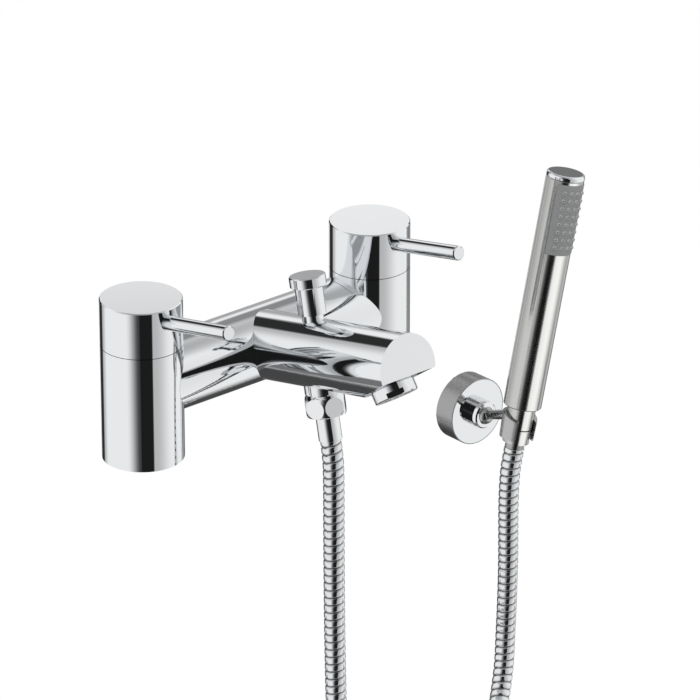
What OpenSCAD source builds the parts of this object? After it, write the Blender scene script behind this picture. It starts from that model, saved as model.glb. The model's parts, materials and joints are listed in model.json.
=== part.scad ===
// Bath shower mixer: two pillars on a deck, a bridge with a spout and a pull-up diverter,
// a ribbed hose and a hand shower in a wall holder.
// The origin is on the deck, midway between the inlets. The spout points to -Y.

/* [Pillars and knobs] */
// Distance between the hot and cold inlets
inlet_spacing = 180; // [160:1:220]
// Diameter of the pillars and of the knobs on them
pillar_d = 49.8; // [47:0.2:56]
// Height of a pillar below its knob
pillar_h = 73; // [70:0.5:90]
// Height of a knob
knob_h = 29.2; // [28:0.2:36]
// Open line between a pillar and its knob
knob_gap = 0.4; // [0.3:0.1:0.8]
// Chamfer around the top of a knob
knob_edge = 0.6; // [0.2:0.1:1.2]
// Minor diameter of the inlet thread
inlet_d = 24.1; // [20:0.1:26]
// Depth of the inlet thread
inlet_depth = 13; // [10:0.5:16]

/* [Levers] */
// Diameter of a lever rod
lever_d = 9; // [7:0.2:10]
// Upward slope of a lever in degrees
lever_rise = 12; // [6:0.5:14]
// Length from the knob axis to the tip of the lever
lever_reach = 83; // [65:0.5:100]
// Depth of the lever axis below the knob top, at the knob axis
lever_drop = 13.4; // [11.8:0.1:13.8]
// Distance from the knob axis to the inner end of the lever
lever_root = 9.4; // [8:0.2:12]

/* [Bridge and spout] */
// Diameter of the bridge between the pillars
bridge_d = 45.6; // [40:0.2:47]
// Drop from the pillar top to the top of the bridge
bridge_drop = 3.2; // [2:0.1:6]
// Wall of the hollow casting
body_wall = 4; // [3:0.5:5]
// Diameter of the spout
spout_d = 42.4; // [40:0.2:44]
// Upward slope of the spout in degrees
spout_rise = 12; // [6:0.5:16]
// Length from the bridge axis to the end face of the spout
spout_l = 139.4; // [130:0.2:160]
// Diameter of the passages to and from the diverter
passage_d = 10; // [8:0.5:10.5]
// Height of the spout axis above the lower edge of the end face
face_drop = 4.5; // [3:0.5:7]
// Slope of the outlet face against the spout axis in degrees
outlet_slope = 24; // [20:0.5:28]

/* [Aerator] */
// Outer diameter of the aerator collar
aerator_d = 27; // [25:0.2:29]
// Length of the collar outside the spout
aerator_l = 7.7; // [5:0.1:12]
// Distance of the aerator axis behind the lower edge of the end face
aerator_back = 18.5; // [17:0.5:22]
// Diameter of the collar's thread
aerator_thread_d = 22; // [18:0.2:23]
// Width across the spanner flats of the collar
aerator_flats = 24.8; // [23.6:0.1:26]
// Height of the spanner flats
aerator_flat_h = 3.4; // [2:0.1:5]

/* [Diverter and shower outlet] */
// Distance of the diverter axis from the bridge axis, along the spout
diverter_out = 57.2; // [50:0.2:70]
// Diameter of the diverter cap
cap_d = 22.4; // [19:0.2:26]
// Height of the diverter cap
cap_h = 6.7; // [5:0.1:9]
// Diameter of the sleeve under the cap
sleeve_d = 17.2; // [16.6:0.1:18.4]
// Length of the sleeve
sleeve_l = 17; // [14:0.5:20]
// Diameter of the fixed guide inside the sleeve
guide_d = 13.2; // [12:0.1:13.6]
// Length of the guide that shows at rest
guide_show = 3.8; // [2:0.1:6]
// Travel of the diverter
diverter_lift = 9; // [8:0.5:10]
// Diameter of the diverter spindle
diverter_rod_d = 5; // [4:0.1:6]
// Diameter of the shower outlet neck
neck_d = 23; // [22:0.2:26]
// Length of the neck below the spout
neck_l = 2.5; // [2:0.1:6]
// Outer diameter of the outlet thread
outlet_thread_d = 20.9; // [18:0.1:21]
// Width across the flats of the hose nut
nut_flats = 23.6; // [23.4:0.1:27]
// Height of the hose nut
nut_h = 14; // [12:0.5:17]
// Diameter of the hose ferrules
ferrule_d = 14.4; // [13.4:0.1:15]
// Length of the ferrule below the hose nut
ferrule_l = 15.8; // [13:0.1:17]

/* [Wall bracket] */
// Diameter of the wall plate
plate_d = 44.4; // [42:0.2:56]
// Thickness of the wall plate
plate_t = 15; // [13:0.5:18]
// Diameter of the ball
ball_d = 12.4; // [11:0.1:13]
// Distance of the ball centre in front of the plate
ball_out = 6.4; // [6:0.1:9]
// Diameter of the collar that holds the ball
collar_d = 18.6; // [18:0.1:20]
// Diameter of the arm next to the ball
arm_d = 6; // [5:0.1:6.4]
// Diameter of the arm at the clip
arm_root_d = 6.8; // [6:0.1:9]
// Length from the ball centre to the clip axis
arm_l = 38.9; // [36:0.1:50]
// Distance between the wall screws
screw_spacing = 24; // [20:0.5:27]
// Shank diameter of a wall screw
screw_d = 4; // [3:0.1:5]

/* [Handset] */
// Diameter of the handset tube
tube_d = 24.5; // [22:0.1:28]
// Wall of the handset tube
tube_wall = 1.5; // [1:0.1:2]
// Length of the handset tube
tube_l = 153; // [140:1:190]
// Height of the top cap
top_cap_h = 3; // [2.5:0.5:6]
// Height of the spray pad
pad_h = 46.3; // [36:0.1:54]
// Distance from the top of the pad to the top of the tube
pad_top = 2.2; // [2:0.1:6]
// Half of the angle that the spray pad covers in degrees
pad_half = 57; // [40:1:70]
// Rows of nozzles
nozzle_rows = 8; // [6:1:9]
// Nozzles in a row
nozzle_columns = 4; // [3:1:5]
// Diameter of a nozzle
nozzle_d = 2.6; // [1.6:0.1:3]
// Diameter of the neck under the tube
cone_d = 18.4; // [17.4:0.1:19]
// Length of the neck
cone_l = 14.2; // [12:0.1:17]
// Height of the hose nut under the neck
cone_nut_h = 9.5; // [8:0.1:12]
// Travel of the handset out of its clip
handset_lift = 40; // [25:1:60]

/* [Hose] */
// Outer diameter of the hose
hose_d = 13; // [12:0.1:13.4]
// Bore of the hose
hose_bore_d = 8; // [7:0.1:9]
// Length of one rib
rib_pitch = 5; // [4.5:0.1:8]
// Depth of the groove between ribs
rib_depth = 0.6; // [0.3:0.1:1]

/* [Fits] */
// Radial clearance of a part that turns or slides in a bore
running = 0.05; // [0.02:0.01:0.1]
// Clearance between parts that are screwed or pressed together
seat = 0.05; // [0.02:0.01:0.1]
// Clearance between parts that pass each other
air = 0.3; // [0.3:0.05:0.5]

/* [Hidden] */

$fn = 96;
over = 1;
hot = -1;
cold = 1;
chrome = "#c9cdd1";
brass = "#b99a55";
satin = "#b4b5b3";
rubber = "#26282a";
ceramic = "#ece8e0";
plastic = "#d8d8d4";
pad_grey = "#7f8080";
steel = "#9a9da0";

// Heights of the knob and the bridge
knob_z = pillar_h + knob_gap;
knob_top = knob_z + knob_h;
bridge_z = pillar_h - bridge_drop - bridge_d / 2;

// Valve in a pillar, from its seat upwards
valve_d = 26;
valve_wall = 1.2;
valve_seal_h = 2;
disc_h = 3;
dog_h = 3;
port_d = 6;
port_out = 5.8;
window_w = 8;
window_h = 18;
window_z = bridge_z - window_h / 2;
dog_z = window_z - dog_h - 1;
moving_z = dog_z - disc_h;
disc_z = moving_z - running - disc_h;
valve_seat_z = disc_z - valve_seal_h;
hex_flats = 30;
hex_h = 5;
hex_deep = 8;
hex_z = pillar_h - hex_deep;
valve_neck_d = 18;
valve_neck_l = 6.6;
valve_neck_z = knob_z + valve_neck_l;
valve_cup_d = valve_d - 2 * valve_wall;
disc_d = valve_cup_d - 2 * air;
seat_pocket = 4;
valve_thread_l = 5;
spindle_d = 10;
spindle_end_d = 8;
spindle_ring_d = 2;
spindle_step = 3;
spindle_end_z = valve_neck_z + spindle_step;
spindle_in_knob = 19;
spindle_top = knob_z + spindle_in_knob;
waterway_d = 14;
valve_seat_d = inlet_d - 1.6;
hex_pocket_d = 38;

// Knob
knob_wall = 4;
knob_hollow = 12.6;
knob_floor = knob_z + knob_hollow;
knob_screw_d = 4;
knob_screw_l = 10;
knob_screw_z = knob_floor + 3.2;
hex_key = 2;

// Gasket groove under each pillar
gasket_edge = 3.4;
gasket_w = 4.5;
gasket_out = pillar_d - 2 * gasket_edge;
gasket_in = gasket_out - 2 * gasket_w;
gasket_h = 1.5;

// Diverter, in the spout's frame, from the lower seat to the knob
spout_r = spout_d / 2;
spout_hollow_d = spout_d - 2 * body_wall;
nipple_d = outlet_thread_d - 2;
valve_plate_d = nipple_d - 0.8;
valve_plate_h = 3;
washer_h = 2.2;
chamber_d = valve_plate_d + 2.8;
chamber_up = 7.2;
chamber_z = -spout_r + chamber_up;
washer_z = chamber_z + air;
valve_plate_z = washer_z + washer_h;
upper_seat_z = valve_plate_z + valve_plate_h + diverter_lift + air;
upper_seat_h = 3;
upper_seat_d = 13;
guide_low = upper_seat_z + upper_seat_h + passage_d + 0.6;
in_z = upper_seat_z - 1 - passage_d / 2;
out_z = guide_low - 0.3 - passage_d / 2;
foot_h = 2;
foot_d = 9;
shower_bore_d = 12;
sleeve_z = spout_r + guide_show;
cap_z = sleeve_z + sleeve_l;
guide_top = cap_z - 5;
knob_pocket = cap_z - 4;
diverter_ring_d = 1.6;

// Shower outlet, in the spout's frame, downwards from the neck
neck_z = -spout_r - neck_l;
hose_washer_h = 2;
flange_h = 1.6;
lip_h = 1.8;
nut_turn = 47;
nut_ball = 0.3;
nut_z = neck_z - air - nut_h;
nut_lip_z = nut_z + lip_h;
flange_z = nut_lip_z + seat;
hose_washer_z = flange_z + flange_h;
nipple_z = hose_washer_z + hose_washer_h + seat;
flange_d = outlet_thread_d - 1.4;
ferrule_z = nut_z - ferrule_l;

// Aerator
collar_wall = 2;
thread_l = 6;
aerator_lip = 1.2;
aerator_turn = -37;
aerator_washer_h = 2;
insert_z = aerator_lip - aerator_l;
insert_top = thread_l - aerator_washer_h;
insert_d = aerator_thread_d - 2 * collar_wall;
water_d = insert_d - 2;
insert_rim = 3;
water_deep = 22;

// Wall bracket: the wall is the plane at wall_y
wall_y = 46.4;
plate_face_y = wall_y - plate_t;
ball_x = 210.1;
ball_z = -73.9;
ball_y = plate_face_y - ball_out;
plate_wall = 3;
backplate_t = 3;
backplate_d = plate_d - 2 * plate_wall - 0.6;
post_d = ball_d + 1.2;
collar_front = 2;
seat_t = 1.6;
screw_shank_d = screw_d + 0.8;
screw_head_d = 7.4;
screw_head_h = 2.4;
screw_l = 18;
screw_turn = 56;
arm_tilt = 20.7;
arm_turn = -3.6;
arm_roll = 12.2;
clip_lean = 21.3;

// Clip and handset, along the handset's axis
clip_top = 1;
clip_low = -15.6;
clip_wall = 2.1;
clip_slot = 14;
clip_slope = 18;
clip_bend = 4;
cone_taper = 0.03;
tube_z = 6;
tube_top = tube_z + tube_l;
tube_in_d = tube_d - 2 * tube_wall;
pad_z = tube_top - pad_top - pad_h;
pad_proud = 0.3;
nozzle_out = 1;
neck_low = tube_z - cone_l;
neck_seal_h = 0.8;
cone_nut_top = neck_low - neck_seal_h;
cone_nut_z = cone_nut_top - cone_nut_h;
handset_ferrule_l = 3.8;
handset_ferrule_z = cone_nut_z - handset_ferrule_l;
handset_ferrule_d = hose_d - 0.6;
cap_plug = pad_top / 3;
plug_l = 12;
pipe_d = 11;
pipe_in_d = 8;
box_d = tube_in_d - 0.3;
box_wall = 1.5;

// Hose routes, from the fittings to the coil on the floor
mixer_route = [
    [0, -67.15, 6.2], [0, -69.3, -7.5], [0, -69.9, -22], [0, -69.95, -40], [0, -70, -62],
    [0, -70.2, -90], [0, -70.6, -120], [0, -71.3, -150], [0, -72.3, -180], [0, -73.6, -210],
    [0, -75, -240], [4.4, -75.7, -262.2], [17, -76, -281], [35.8, -76, -293.6], [58, -76, -298],
    [71, -76, -298],
];
handset_route = [
    [203.4, -10.65, -82.3], [200.9, -10.2, -96], [199.4, -10.5, -109.5], [198.6, -11, -123],
    [198.3, -11.5, -139], [198.2, -11.8, -160], [197.8, -11.8, -185], [196.8, -11.8, -211],
    [193.2, -14.4, -233.2], [182.9, -21.6, -252], [167.5, -32.4, -264.6], [149.3, -45.1, -269],
    [133.1, -56.4, -269],
];
coil_centre = [84, -9, -298];
coil_r = 67;
coil_start = -90;
coil_angle = 755;
coil_climb = 29;
coil_lead = 13;
loop_rings = 24;
coil_sides = 6;
rib_sides = 8;
curve_steps = 10;
tie_w = 8;
tie_t = 1.2;
tie_angle = 120;

// Frames

module at_side(side) {
    translate([side * inlet_spacing / 2, 0, 0])
        children();
}

module spout_frame() {
    translate([0, 0, bridge_z])
        rotate([-spout_rise, 0, 0])
            children();
}

module diverter_frame() {
    spout_frame()
        translate([0, -diverter_out, 0])
            children();
}

// The outlet face is the local plane z = 0, and water leaves along -Z
module outlet_frame() {
    spout_frame()
        translate([0, -spout_l, -face_drop])
            rotate([-outlet_slope, 0, 0])
                translate([0, aerator_back, 0])
                    children();
}

module lever_frame() {
    translate([0, 0, knob_top - lever_drop])
        rotate([90 - lever_rise, 0, 0])
            children();
}

// Along -Y from the wall, centred on the ball
module plate_frame() {
    translate([ball_x, wall_y, ball_z])
        rotate([90, 0, 0])
            children();
}

module arm_frame() {
    translate([ball_x, ball_y, ball_z])
        rotate([-arm_tilt, 0, arm_turn])
            rotate([0, arm_roll, 0])
                children();
}

module clip_frame() {
    arm_frame()
        translate([0, -arm_l, 0])
            rotate([clip_lean, 0, 0])
                children();
}

// Shapes

module rod(d, z0, z1) {
    translate([0, 0, z0])
        cylinder(h = z1 - z0, d = d);
}

module pipe(d, bore, z0, z1) {
    difference() {
        rod(d, z0, z1);
        rod(bore, z0 - over, z1 + over);
    }
}

// A ring of round section on the Z axis
module round_ring(mid_d, thick, z) {
    translate([0, 0, z])
        rotate_extrude()
            translate([mid_d / 2, 0])
                circle(d = thick, $fn = 32);
}

// A rod with both ends chamfered
module chamfered_rod(d, z0, z1, edge) {
    rotate_extrude()
        polygon([
            [0, z0], [d / 2 - edge, z0], [d / 2, z0 + edge],
            [d / 2, z1 - edge], [d / 2 - edge, z1], [0, z1],
        ]);
}

module hex_bar(flats, z0, z1) {
    translate([0, 0, z0])
        cylinder(h = z1 - z0, d = flats / cos(30), $fn = 6);
}

// Mixer body: two pillars, the bridge brazed between them and the spout brazed to the bridge

module pillar_bores() {
    rod(inlet_d, -over, inlet_depth);
    rod(valve_seat_d + 2 * seat, inlet_depth - over, valve_seat_z + over);
    rod(valve_d + 2 * seat, valve_seat_z, pillar_h + over);
    rod(pillar_d - 2 * body_wall, valve_seat_z + seat_pocket, hex_z - valve_thread_l);
    rod(hex_pocket_d, hex_z, pillar_h + over);
    pipe(gasket_out, gasket_in, -over, gasket_h);
}

module bridge_rod(d, reach) {
    translate([0, 0, bridge_z])
        rotate([0, 90, 0])
            rod(d, -reach, reach);
}

// The hollow of the bridge opens into both pillars
module bridge_bore() {
    bridge_rod(bridge_d - 2 * body_wall, inlet_spacing / 2 - pillar_d / 2 + body_wall + over);
}

module spout_rod(d, z0, z1) {
    spout_frame()
        rotate([90, 0, 0])
            rod(d, z0, z1);
}

module pillar(side) {
    color(chrome)
        difference() {
            at_side(side)
                difference() {
                    rod(pillar_d, 0, pillar_h);
                    pillar_bores();
                }
            bridge_bore();
        }
}

module bridge() {
    color(chrome)
        difference() {
            bridge_rod(bridge_d, inlet_spacing / 2);
            bridge_bore();
            spout_rod(spout_hollow_d, 0, spout_l);
            for (side = [hot, cold])
                at_side(side)
                    rod(pillar_d + 2 * seat, -over, pillar_h + over);
        }
}

// Water comes in under the diverter's upper seat and goes on above it to the aerator
module spout_bores() {
    housing = chamber_d / 2 + body_wall;
    slope_start = spout_l - (spout_r - face_drop) / tan(outlet_slope);
    water_end = spout_l - aerator_back * cos(outlet_slope) - water_deep * sin(outlet_slope);
    spout_rod(spout_hollow_d, 0, diverter_out - housing);
    spout_rod(spout_hollow_d, diverter_out + housing, slope_start);
    spout_frame()
        rotate([90, 0, 0]) {
            translate([0, in_z, 0])
                rod(passage_d, 0, diverter_out);
            translate([0, out_z, 0])
                rod(passage_d, diverter_out, water_end);
        }
    outlet_frame() {
        rod(aerator_thread_d + 2 * seat, -over, thread_l + seat);
        rod(water_d, 0, water_deep);
    }
    diverter_frame() {
        rod(chamber_d, chamber_z, upper_seat_z);
        rod(upper_seat_d, chamber_z, guide_low);
        rod(chamber_d, upper_seat_z + upper_seat_h, guide_low);
        rod(guide_d + 2 * seat, guide_low - over, spout_d);
        rod(nipple_d + 2 * seat, neck_z - over, chamber_z + over);
    }
}

module spout() {
    color(chrome)
        difference() {
            union() {
                spout_rod(spout_d, 0, spout_l);
                diverter_frame()
                    rod(neck_d, neck_z, 0);
            }
            outlet_frame()
                translate([-spout_d, -aerator_back - over, -spout_d])
                    cube([2 * spout_d, spout_l - diverter_out, spout_d]);
            bridge_rod(bridge_d + 2 * seat, inlet_spacing / 2);
            spout_bores();
        }
}

module base_seals() {
    color(rubber)
        for (side = [hot, cold])
            at_side(side)
                pipe(gasket_out - 2 * seat, gasket_in + 2 * seat, 0, gasket_h - seat);
}

// Valves

// A bush pressed into the pillar between the inlet thread and the valve
module valve_seat(side) {
    color(brass)
        at_side(side)
            pipe(valve_seat_d, waterway_d, inlet_depth + air, valve_seat_z);
}

module valve_body(side) {
    color(brass)
        at_side(side)
            difference() {
                union() {
                    rod(valve_d, disc_z, hex_z);
                    hex_bar(hex_flats, hex_z + seat, hex_z + hex_h);
                    rod(valve_d, hex_z - over, hex_z + hex_h);
                    rod(valve_neck_d, hex_z, valve_neck_z);
                }
                rod(valve_cup_d, disc_z - over, window_z + window_h);
                rod(spindle_d + 2 * running, window_z, valve_neck_z + over);
                for (turn = [0, 90])
                    rotate([0, 0, turn])
                        translate([-valve_d, -window_w / 2, window_z])
                            cube([2 * valve_d, window_w, window_h]);
            }
}

module valve_seal(side) {
    color(rubber)
        at_side(side)
            pipe(valve_d - 1, waterway_d + 1, valve_seat_z, disc_z - seat);
}

// A ceramic or brass disc with two ports on a line turned by the angle
module ported_disc(d, z0, z1, angle) {
    difference() {
        rod(d, z0, z1);
        rotate([0, 0, angle])
            for (way = [-1, 1])
                translate([way * port_out, 0, 0])
                    rod(port_d, z0 - over, z1 + over);
    }
}

module fixed_disc(side) {
    color(ceramic)
        at_side(side)
            ported_disc(disc_d, disc_z, disc_z + disc_h, 90);
}

module moving_disc(side) {
    color(ceramic)
        at_side(side)
            ported_disc(disc_d, moving_z, moving_z + disc_h, 0);
}

function spindle_ring_z() = (hex_z + valve_neck_z) / 2;

module spindle(side) {
    color(brass)
        at_side(side)
            difference() {
                union() {
                    ported_disc(disc_d, dog_z, dog_z + dog_h, 0);
                    rod(spindle_d, dog_z + dog_h - over, spindle_end_z);
                    rod(spindle_end_d, spindle_end_z - over, spindle_top);
                }
                round_ring(spindle_d - spindle_ring_d, spindle_ring_d + 2 * seat, spindle_ring_z());
            }
}

module spindle_ring(side) {
    color(rubber)
        at_side(side)
            round_ring(spindle_d - spindle_ring_d, spindle_ring_d, spindle_ring_z());
}

// Knobs and levers

module knob(side) {
    color(chrome)
        at_side(side)
            difference() {
                rotate_extrude()
                    polygon([
                        [0, knob_z], [pillar_d / 2, knob_z], [pillar_d / 2, knob_top - knob_edge],
                        [pillar_d / 2 - knob_edge, knob_top], [0, knob_top],
                    ]);
                rod(pillar_d - 2 * knob_wall, knob_z - over, knob_floor);
                rod(spindle_end_d + 2 * seat, knob_floor - over, spindle_top + air);
                lever_frame()
                    rod(lever_d + 2 * seat, lever_root - seat, pillar_d);
                translate([0, 0, knob_screw_z])
                    rotate([-90, 0, 0])
                        rod(knob_screw_d + 2 * seat, 0, pillar_d);
            }
}

module lever(side) {
    color(chrome)
        at_side(side)
            lever_frame()
                chamfered_rod(lever_d, lever_root, lever_reach, knob_edge);
}

module knob_screw(side) {
    start = spindle_end_d / 2 + seat;
    color(steel)
        at_side(side)
            translate([0, 0, knob_screw_z])
                rotate([-90, 0, 0])
                    difference() {
                        chamfered_rod(knob_screw_d, start, start + knob_screw_l, knob_edge);
                        hex_bar(hex_key, start + knob_screw_l - hex_key, start + knob_screw_l + over);
                    }
}

// Diverter

module diverter_guide() {
    color(chrome)
        diverter_frame()
            pipe(guide_d, diverter_rod_d + 2 * running, guide_low, guide_top);
}

module diverter_knob() {
    color(chrome)
        diverter_frame()
            difference() {
                union() {
                    rod(sleeve_d, sleeve_z, cap_z + over);
                    chamfered_rod(cap_d, cap_z, cap_z + cap_h, knob_edge);
                }
                rod(guide_d + 2 * air, sleeve_z - over, knob_pocket);
                rod(diverter_rod_d + 2 * seat, knob_pocket - over, cap_z + 1 + seat);
            }
}

function diverter_ring_z() = guide_low + 2 * diverter_ring_d;

module diverter_spindle() {
    color(brass)
        diverter_frame()
            difference() {
                union() {
                    rod(diverter_rod_d, washer_z - over, cap_z + 1);
                    rod(foot_d, washer_z - seat - foot_h, washer_z - seat);
                }
                round_ring(diverter_rod_d - diverter_ring_d, diverter_ring_d + 2 * seat, diverter_ring_z());
            }
}

module diverter_ring() {
    color(rubber)
        diverter_frame()
            round_ring(diverter_rod_d - diverter_ring_d, diverter_ring_d, diverter_ring_z());
}

module diverter_valve() {
    color(brass)
        diverter_frame()
            pipe(valve_plate_d, diverter_rod_d + 2 * seat, valve_plate_z, valve_plate_z + valve_plate_h);
}

module diverter_washer() {
    color(rubber)
        diverter_frame()
            pipe(valve_plate_d, diverter_rod_d + 2 * seat, washer_z, valve_plate_z);
}

// Aerator

module aerator_collar() {
    color(chrome)
        outlet_frame()
            difference() {
                union() {
                    chamfered_rod(aerator_d, -aerator_l, -seat, knob_edge);
                    rod(aerator_thread_d, -over, thread_l);
                }
                rod(insert_d, insert_z, thread_l + over);
                rod(insert_d - 2 * aerator_lip, -aerator_l - over, insert_z + over);
                for (turn = [0, 180])
                    rotate([0, 0, aerator_turn + turn])
                        translate([-aerator_d / 2, -aerator_d, -aerator_l - over])
                            cube([aerator_d, aerator_d - aerator_flats / 2, aerator_flat_h + over]);
            }
}

module aerator_insert() {
    hole_d = 2;
    color(plastic)
        outlet_frame()
            difference() {
                rod(insert_d - 2 * seat, insert_z + seat, insert_top);
                for (turn = [0 : 45 : 315])
                    rotate([0, 0, turn])
                        translate([0.32 * insert_d, 0, 0])
                            rod(hole_d, insert_z - over, insert_top + over);
                for (turn = [0 : 90 : 270])
                    rotate([0, 0, turn])
                        translate([0.14 * insert_d, 0, 0])
                            rod(hole_d, insert_z - over, insert_top + over);
            }
}

module aerator_washer() {
    color(rubber)
        outlet_frame()
            pipe(insert_d - 2 * seat, insert_d - 2 * insert_rim, insert_top + seat, thread_l);
}

// Shower outlet and hose fittings

// The upper end of the nipple is the diverter's lower seat
module outlet_nipple() {
    color(chrome)
        diverter_frame()
            difference() {
                union() {
                    rod(nipple_d, nipple_z, chamber_z);
                    rod(outlet_thread_d, nipple_z, neck_z - seat);
                }
                rod(shower_bore_d, nipple_z - over, chamber_z + over);
            }
}

// The ball cut rounds the corners, so that each flat has a round outline
module hose_nut() {
    nut_mid = nut_z + nut_h / 2;
    color(chrome)
        diverter_frame()
            difference() {
                intersection() {
                    rotate([0, 0, nut_turn])
                        hex_bar(nut_flats, nut_z, nut_z + nut_h);
                    translate([0, 0, nut_mid])
                        sphere(d = sqrt(nut_flats * nut_flats + nut_h * nut_h) + nut_ball);
                }
                rod(outlet_thread_d + 2 * seat, nut_lip_z, nut_z + nut_h + over);
                rod(ferrule_d + 2 * seat, nut_z - over, nut_lip_z + over);
            }
}

module hose_washer() {
    color(rubber)
        diverter_frame()
            pipe(flange_d, hose_bore_d, hose_washer_z, nipple_z - seat);
}

module mixer_ferrule() {
    color(chrome)
        diverter_frame()
            difference() {
                union() {
                    rod(ferrule_d, ferrule_z, flange_z + over);
                    rod(flange_d, flange_z, flange_z + flange_h);
                }
                rod(hose_bore_d, ferrule_z - over, flange_z + flange_h + over);
            }
}

// Hose

function unit(v) = v / norm(v);

// Point on a smooth curve through four points, from the second to the third
function smooth_point(a, b, c, d, t) =
    b + 0.5 * t * (c - a + t * (2 * a - 5 * b + 4 * c - d + t * (3 * (b - c) + d - a)));

function route_point(route, i) =
    i < 0 ? 2 * route[0] - route[1]
    : i >= len(route) ? 2 * route[len(route) - 1] - route[len(route) - 2]
    : route[i];

function smooth_route(route) = [
    for (i = [0 : len(route) - 2])
        for (k = [0 : curve_steps - 1])
            smooth_point(
                route_point(route, i - 1), route[i], route[i + 1], route_point(route, i + 2),
                k / curve_steps
            ),
    route[len(route) - 1],
];

// Lengths along a line of points, from its start to each point
function run_lengths(points) = [
    for (i = 0, s = 0; i < len(points);
        s = s + (i + 1 < len(points) ? norm(points[i + 1] - points[i]) : 0), i = i + 1) s
];

function step_at(lengths, s, low, high) =
    high - low <= 1 ? low
    : let (mid = floor((low + high) / 2))
        lengths[mid] <= s ? step_at(lengths, s, mid, high) : step_at(lengths, s, low, mid);

// Points at equal steps along a line of points
function even_points(points, count) =
    let (lengths = run_lengths(points), total = lengths[len(points) - 1])
    [
        for (k = [0 : count])
            let (
                s = total * k / count,
                i = step_at(lengths, s, 0, len(points) - 1),
                t = (s - lengths[i]) / (lengths[i + 1] - lengths[i])
            )
            points[i] + t * (points[i + 1] - points[i])
    ];

function line_way(points, i) =
    unit(points[min(i + 1, len(points) - 1)] - points[max(i - 1, 0)]);

// A side direction for each point, carried along the line without twist
function sides_of(points, first) = [
    for (i = 0, v = unit(cross(cross(line_way(points, 0), first), line_way(points, 0)));
        i < len(points);
        i = i + 1, v = i < len(points) ? let (w = line_way(points, i)) unit(v - (v * w) * w) : v) v
];

function ring_points(centre, way, side, r, n) =
    let (other = cross(way, side))
    [for (k = [0 : n - 1]) centre + r * (cos(360 * k / n) * side + sin(360 * k / n) * other)];

// Triangles between two rings of n points that start at a and b
function band(a, b, n) = [
    for (k = [0 : n - 1])
        let (m = (k + 1) % n)
        each [[a + k, b + k, b + m], [a + k, b + m, a + m]]
];

// Points of a tube: the outer rings in order, then the bore's rings
module swept_tube(points, radii, bore_r, n, first) {
    sides = sides_of(points, first);
    last = len(points) - 1;
    outer = [
        for (i = [0 : last])
            each ring_points(points[i], line_way(points, i), sides[i], radii[i], n)
    ];
    bore_at = [for (i = [0 : last]) if (i % 2 == 0 || i == last) i];
    inner = [
        for (i = bore_at)
            each ring_points(points[i], line_way(points, i), sides[i], bore_r, n)
    ];
    base = len(outer);
    final = base + (len(bore_at) - 1) * n;
    polyhedron(
        points = concat(outer, inner),
        faces = concat(
            [for (i = [0 : last - 1]) each band((i + 1) * n, i * n, n)],
            [for (i = [0 : len(bore_at) - 2]) each band(base + i * n, base + (i + 1) * n, n)],
            band(0, base, n),
            band(final, last * n, n)
        )
    );
}

// Two rings to a rib, with plain ends
module ribbed_hose(route) {
    dense = smooth_route(route);
    lengths = run_lengths(dense);
    ribs = round(lengths[len(dense) - 1] / rib_pitch);
    points = even_points(dense, 2 * ribs);
    radii = [for (i = [0 : 2 * ribs]) hose_d / 2 - (i % 2 == 0 ? rib_depth : 0)];
    swept_tube(points, radii, hose_bore_d / 2, rib_sides, [0, 1, 0.01]);
}

module hose_mixer_stretch() {
    color(steel)
        ribbed_hose(mixer_route);
}

module hose_handset_stretch() {
    color(steel)
        ribbed_hose(handset_route);
}

coil_steps = ceil(coil_angle / 360 * loop_rings);

function coil_point(i) =
    let (f = i / coil_steps, angle = coil_start + coil_angle * f)
    coil_centre + [coil_r * cos(angle), coil_r * sin(angle), coil_climb * f];

function coil_way(angle) = [-sin(angle), cos(angle), 0];

// The loops, with a straight lead at each end
coil_points = [
    coil_point(0) - coil_lead * coil_way(coil_start),
    coil_point(0) - coil_lead / 2 * coil_way(coil_start),
    for (i = [0 : coil_steps]) coil_point(i),
    coil_point(coil_steps) + coil_lead / 2 * coil_way(coil_start + coil_angle),
    coil_point(coil_steps) + coil_lead * coil_way(coil_start + coil_angle),
];
coil_last = len(coil_points) - 1;

// Least gap between two turns, between points half a loop or more apart
coil_gap = min([
    for (i = [0 : coil_last])
        for (j = [i + loop_rings / 2 : 1 : coil_last])
            norm(coil_points[i] - coil_points[j])
]) - hose_d;
echo(coil_gap = coil_gap);

module hose_coil() {
    n = coil_sides;
    sides = sides_of(coil_points, [0, 0, 1]);
    rings = [
        for (i = [0 : coil_last])
            each ring_points(coil_points[i], line_way(coil_points, i), sides[i], hose_d / 2, n)
    ];
    color(steel)
        polyhedron(
            points = rings,
            faces = concat(
                [for (i = [0 : coil_last - 1]) each band((i + 1) * n, i * n, n)],
                [[for (k = [0 : n - 1]) k]],
                [[for (k = [0 : n - 1]) coil_last * n + n - 1 - k]]
            )
        );
}

// A strap around the turns at one place of the coil
module coil_tie() {
    inner_w = hose_d + 2 * air;
    low = coil_climb * (tie_angle - coil_start) / coil_angle - hose_d / 2 - air;
    high = low + hose_d + 2 * air + coil_climb * 360 / coil_angle;
    color(rubber)
        translate(coil_centre)
            rotate([0, 0, tie_angle])
                translate([coil_r, 0, 0])
                    difference() {
                        translate([-inner_w / 2 - tie_t, -tie_w / 2, low - tie_t])
                            cube([inner_w + 2 * tie_t, tie_w, high - low + 2 * tie_t]);
                        translate([-inner_w / 2, -tie_w / 2 - over, low])
                            cube([inner_w, tie_w + 2 * over, high - low]);
                    }
}

// Wall bracket

module at_screws() {
    for (way = [-1, 1])
        rotate([0, 0, screw_turn])
            translate([way * screw_spacing / 2, 0, 0])
                children();
}

module wall_backplate() {
    color(steel)
        plate_frame()
            difference() {
                union() {
                    rod(backplate_d, 0, backplate_t);
                    rod(post_d, 0, plate_t + ball_out - ball_d / 2 - seat_t);
                }
                at_screws()
                    rod(screw_shank_d + 2 * seat, -over, backplate_t + over);
            }
}

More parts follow.
